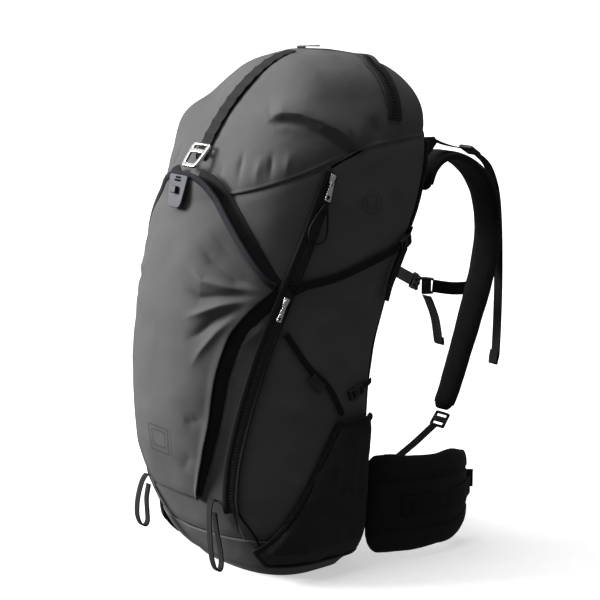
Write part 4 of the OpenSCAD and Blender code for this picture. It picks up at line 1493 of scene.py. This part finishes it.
def add_back_pads():
    specs = (("back_padding", 160, 490, 150, 13, 9.5, "back_pad", 5),
             ("lumbar_padding", 24, 136, 140, 18, 9.4, "lumbar_pad", 3))
    for name, low, high, wide, thick, out, node, channels in specs:
        z = np.arange(low, high + 1, 2.0)
        y = np.array([float(back_y(v)) for v in z]) + out
        p = np.stack([np.zeros(len(z)), y, z], -1)
        n = -np.cross([1.0, 0, 0], tangents(p))
        rings = pad_rings(p, n, np.full(len(z), wide - 2.0), thick - .5, 96)
        x = rings[..., 0]
        groove = np.exp(-((np.abs(x) - wide * .17) / 3.4) ** 2)
        for k in range(1, channels):
            level = low + (high - low) * k / channels
            groove = np.maximum(groove, np.exp(-((rings[..., 2] - level) / 3.4) ** 2))
        face = np.clip((rings - p[:, None]) @ np.array([0, 1.0, 0]) / (thick / 2), 0, 1)
        rings = rings - np.array([0, 1.0, 0]) * (groove * face * 4.2)[..., None]
        tube_piece(name, [rings], SPACER, "bag", [node])


add_back_pads()


# ---------------------------------------------------------------- sternum strap
STERN_A = np.array([64, 336.5, 325])
STERN_MID = np.array([8, 290, 325.0])
STERN_B = np.array([-64, 277, 356])


def stern_at(d):
    end = STERN_A if d > 0 else STERN_B
    return STERN_MID + abs(d) * unit(end - STERN_MID)


def strap_axes(a, b):
    """Columns: across the strap, along it, outwards."""
    along = unit(b - a)
    out = unit(np.cross(along, [0, 0, 1.0]))
    return np.stack([np.cross(along, out), along, out], -1)


def add_buckle_pair(prefix, axes_s, at_s, axes_p, at_p, scale, bodies, nodes):
    """Side release buckle: a socket with a window and a plug with a fork and side catches."""
    k = scale
    edge = rounded([[-13 * k, -10.4 * k], [13 * k, -10.4 * k], [11.5 * k, 7.5 * k],
                    [-11.5 * k, 7.5 * k]], 3 * k)
    slots = [oblong(0, 4.6 * k, 17 * k, 2.2 * k, .8)]
    plate(prefix + "_socket_shell", [edge] + slots, 8 * k * .92, axes_s, at_s, BLACK, bodies[0],
          [nodes[0]], edge=1.6 * k)
    face = at_s + axes_s[:, 2] * 3.5 * k
    inset = rounded([[-6 * k, -6 * k], [6 * k, -6 * k], [4.5 * k, 1 * k], [-4.5 * k, 1 * k]], 1.6 * k)
    plate(prefix + "_socket_rib", [inset], 1.6 * k, axes_s, face, BLACK, bodies[0],
          edge=.6 * k)
    edge = rounded([[-12.2 * k, 7.5 * k], [12.2 * k, 7.5 * k], [12.2 * k, 0], [10.6 * k, -3 * k],
                    [11.6 * k, -7.2 * k], [6.8 * k, -7.4 * k], [5.6 * k, -1 * k], [2.6 * k, -1 * k],
                    [2.2 * k, -7.4 * k], [-2.2 * k, -7.4 * k], [-2.6 * k, -1 * k], [-5.6 * k, -1 * k],
                    [-6.8 * k, -7.4 * k], [-11.6 * k, -7.2 * k], [-10.6 * k, -3 * k], [-12.2 * k, 0]],
                   1.2 * k)
    web = rounded([[-10 * k, 2 * k], [10 * k, 2 * k], [10 * k, -7 * k], [-10 * k, -7 * k]], k)
    plate(prefix + "_plug_web", [web], 2.4 * k, axes_p, at_p, BLACK, bodies[1],
          edge=.5 * k)
    slots = [oblong(0, 4.0 * k, 17 * k, 2.0 * k, .7)]
    plate(prefix + "_plug_fork", [edge] + slots, 5.6 * k, axes_p, at_p, BLACK, bodies[1],
          [nodes[1]], edge=1.1 * k)


def add_sternum_tail():
    p, n = across_x([[299, 309.5], [305, 299], [316, 274], [323, 240]], 10)
    hem, hn = across_x([[321.6, 248], [323.4, 241], [324.4, 237.6], [326, 239], [324.6, 248]],
                       10, 1.0)
    webbing("sternum_tail", [band(p, n, 18, STRAP_T), band(hem, hn, 17.6, 1.5)], "sternum_right")


def add_sternum():
    half = 18.0
    mid = 10.6
    axes_s = strap_axes(stern_at(3.0), stern_at(half))
    axes_p = strap_axes(stern_at(-3.0), stern_at(-half))
    add_buckle_pair("sternum", axes_s, stern_at(mid), axes_p, stern_at(-mid), .95,
                    ("sternum_right", "sternum_left"), ("sternum_socket", "sternum_plug"))
    for name, end, sign, body in (("right", STERN_A, 1, "sternum_right"),
                                  ("left", STERN_B, -1, "sternum_left")):
        a = stern_at(sign * (half - 2.5))
        sag = (a + end) / 2 + np.array([0, 0, -2.5])
        p = spline([end, sag, a], 1.5)
        n = unit(np.cross(tangents(p), [0, 0, 1.0]))
        n *= np.sign(n[:, 1:2] + 1e-9)
        webbing("sternum_webbing_" + name, [band(p, n, 18, STRAP_T)], body, ["sternum_web_" + name])
        rows = tack(p[3], n[3], tangents(p)[3], 16)
        sewing("sternum_tacks_" + name, rows, body)


add_sternum()
add_sternum_tail()


# ---------------------------------------------------------------- hip belt
def add_hip(side):
    name = SIDE_NAMES[side]
    plan = spline([[108, 98], [124, 120], [142, 152], [151, 190], [147, 228], [130, 258]], 2.0)
    tan = tangents(plan)
    nrm = np.stack([tan[:, 1], -tan[:, 0], np.zeros(len(plan))], -1)
    f = np.linspace(0, 1, len(plan))
    p = np.stack([plan[:, 0], plan[:, 1], 74 + 4 * f], -1)
    tall = 136 * (1 - .28 * f ** 2) - 3 + 9 * np.exp(-((f - .74) / .13) ** 2)
    rings = pad_rings(p, nrm, tall, 13.5, 96)
    centre = p[:, None]
    h = (rings - centre)[..., 2] / (tall[:, None] / 2)
    out = np.sum((rings - centre) * nrm[:, None], axis=-1)
    groove = np.exp(-((np.abs(h) - .52) / .045) ** 2) * np.sign(out)
    rings = rings - nrm[:, None] * (groove * 2.6)[..., None]
    lumps = ripple(rings, 24, 1.1, 3.3 * side) + ripple(rings, 60, 3.2, 1.9 * side)
    rings = rings + unit(rings - centre) * lumps[..., None]
    rings = rings * np.array([side, 1, 1])
    if side < 0:
        rings = rings[:, ::-1]
    body = "hip_" + name
    pad = tube_piece("hip_wing_pad_" + name, [rings], PAD, body,
                     ["hip_wing_" + name])
    strap = (p + nrm * 7.6 - [0, 0, 2])[int(.28 * len(p)):] * np.array([side, 1, 1])
    sn = nrm[int(.28 * len(p)):] * np.array([side, 1, 1])
    webbing("hip_wing_webbing_" + name, [band(strap, sn, 25, 1.8)], body)
    rows = []
    for i in (6, len(strap) // 2, -8):
        rows += tack(strap[i], sn[i], tangents(strap)[i], 22)
    sewing("hip_wing_tacks_" + name, rows, body)


def add_hip_buckle():
    for side, length, body, node in ((1, 34, "hip_right", "hip_socket"),
                                     (-1, 30, "hip_left", "hip_plug")):
        a = math.radians(side * 48)
        turn = np.array([[math.cos(a), -math.sin(a), 0], [math.sin(a), math.cos(a), 0],
                         [0, 0, 1.0]])
        origin = np.array([side * 115, 273, 78.0])
        along = turn @ np.array([-side, 0, 0])
        out = turn @ np.array([0, 1.0, 0])
        across = np.cross(along, out)
        name = SIDE_NAMES[side]
        start = turn @ np.array([side * 12, 0, 0])
        end = turn @ np.array([-side * 33, 0, 0])
        p = spaced(origin + np.array([start, end]), 30)
        n = np.tile(out, (30, 1))
        webbing("hip_buckle_webbing_" + name, [band(p, n, 25, 1.8)], body)
        at = origin + turn @ np.array([-side * (28.2 + length / 2), 0, 0])
        axes = np.stack([across, -along, out], -1)
        axes[:, 0] = np.cross(axes[:, 1], axes[:, 2])
        if side > 0:
            edge = rounded([[-16, -17], [16, -17], [14.5, 17], [-14.5, 17]], 4)
            slots = [oblong(0, 11.5, 26, 3.2, 1.2)]
            plate("hip_socket_shell", [edge] + slots, 9, axes, at, BLACK, body,
                  [node], edge=2)
            rib = rounded([[-8, -13], [8, -13], [6, 3], [-6, 3]], 2)
            plate("hip_socket_rib", [rib], 1.8, axes, at + axes[:, 2] * 4.4, BLACK, body,
                  edge=.7)
        else:
            edge = rounded([[-15, 15], [15, 15], [15, 0], [13, -6], [14.4, -15], [8.6, -15],
                            [7, -2], [3, -2], [2.6, -15], [-2.6, -15], [-3, -2], [-7, -2],
                            [-8.6, -15], [-14.4, -15], [-13, -6], [-15, 0]], 1.8)
            plate("hip_plug_fork", [edge, oblong(0, 9.5, 26, 3.2, 1.2)], 7, axes, at, BLACK,
                  body, [node], edge=1.4)


for hand in (1, -1):
    add_hip(hand)
add_hip_buckle()


# ---------------------------------------------------------------- parts inside the bag
for node_name, finish in (("frame_sheet", SHEET_MAT), ("frame_stay_right", STAY_MAT),
                          ("frame_stay_left", STAY_MAT)):
    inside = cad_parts[node_name]
    inside.data.materials.clear()
    inside.data.materials.append(finish)
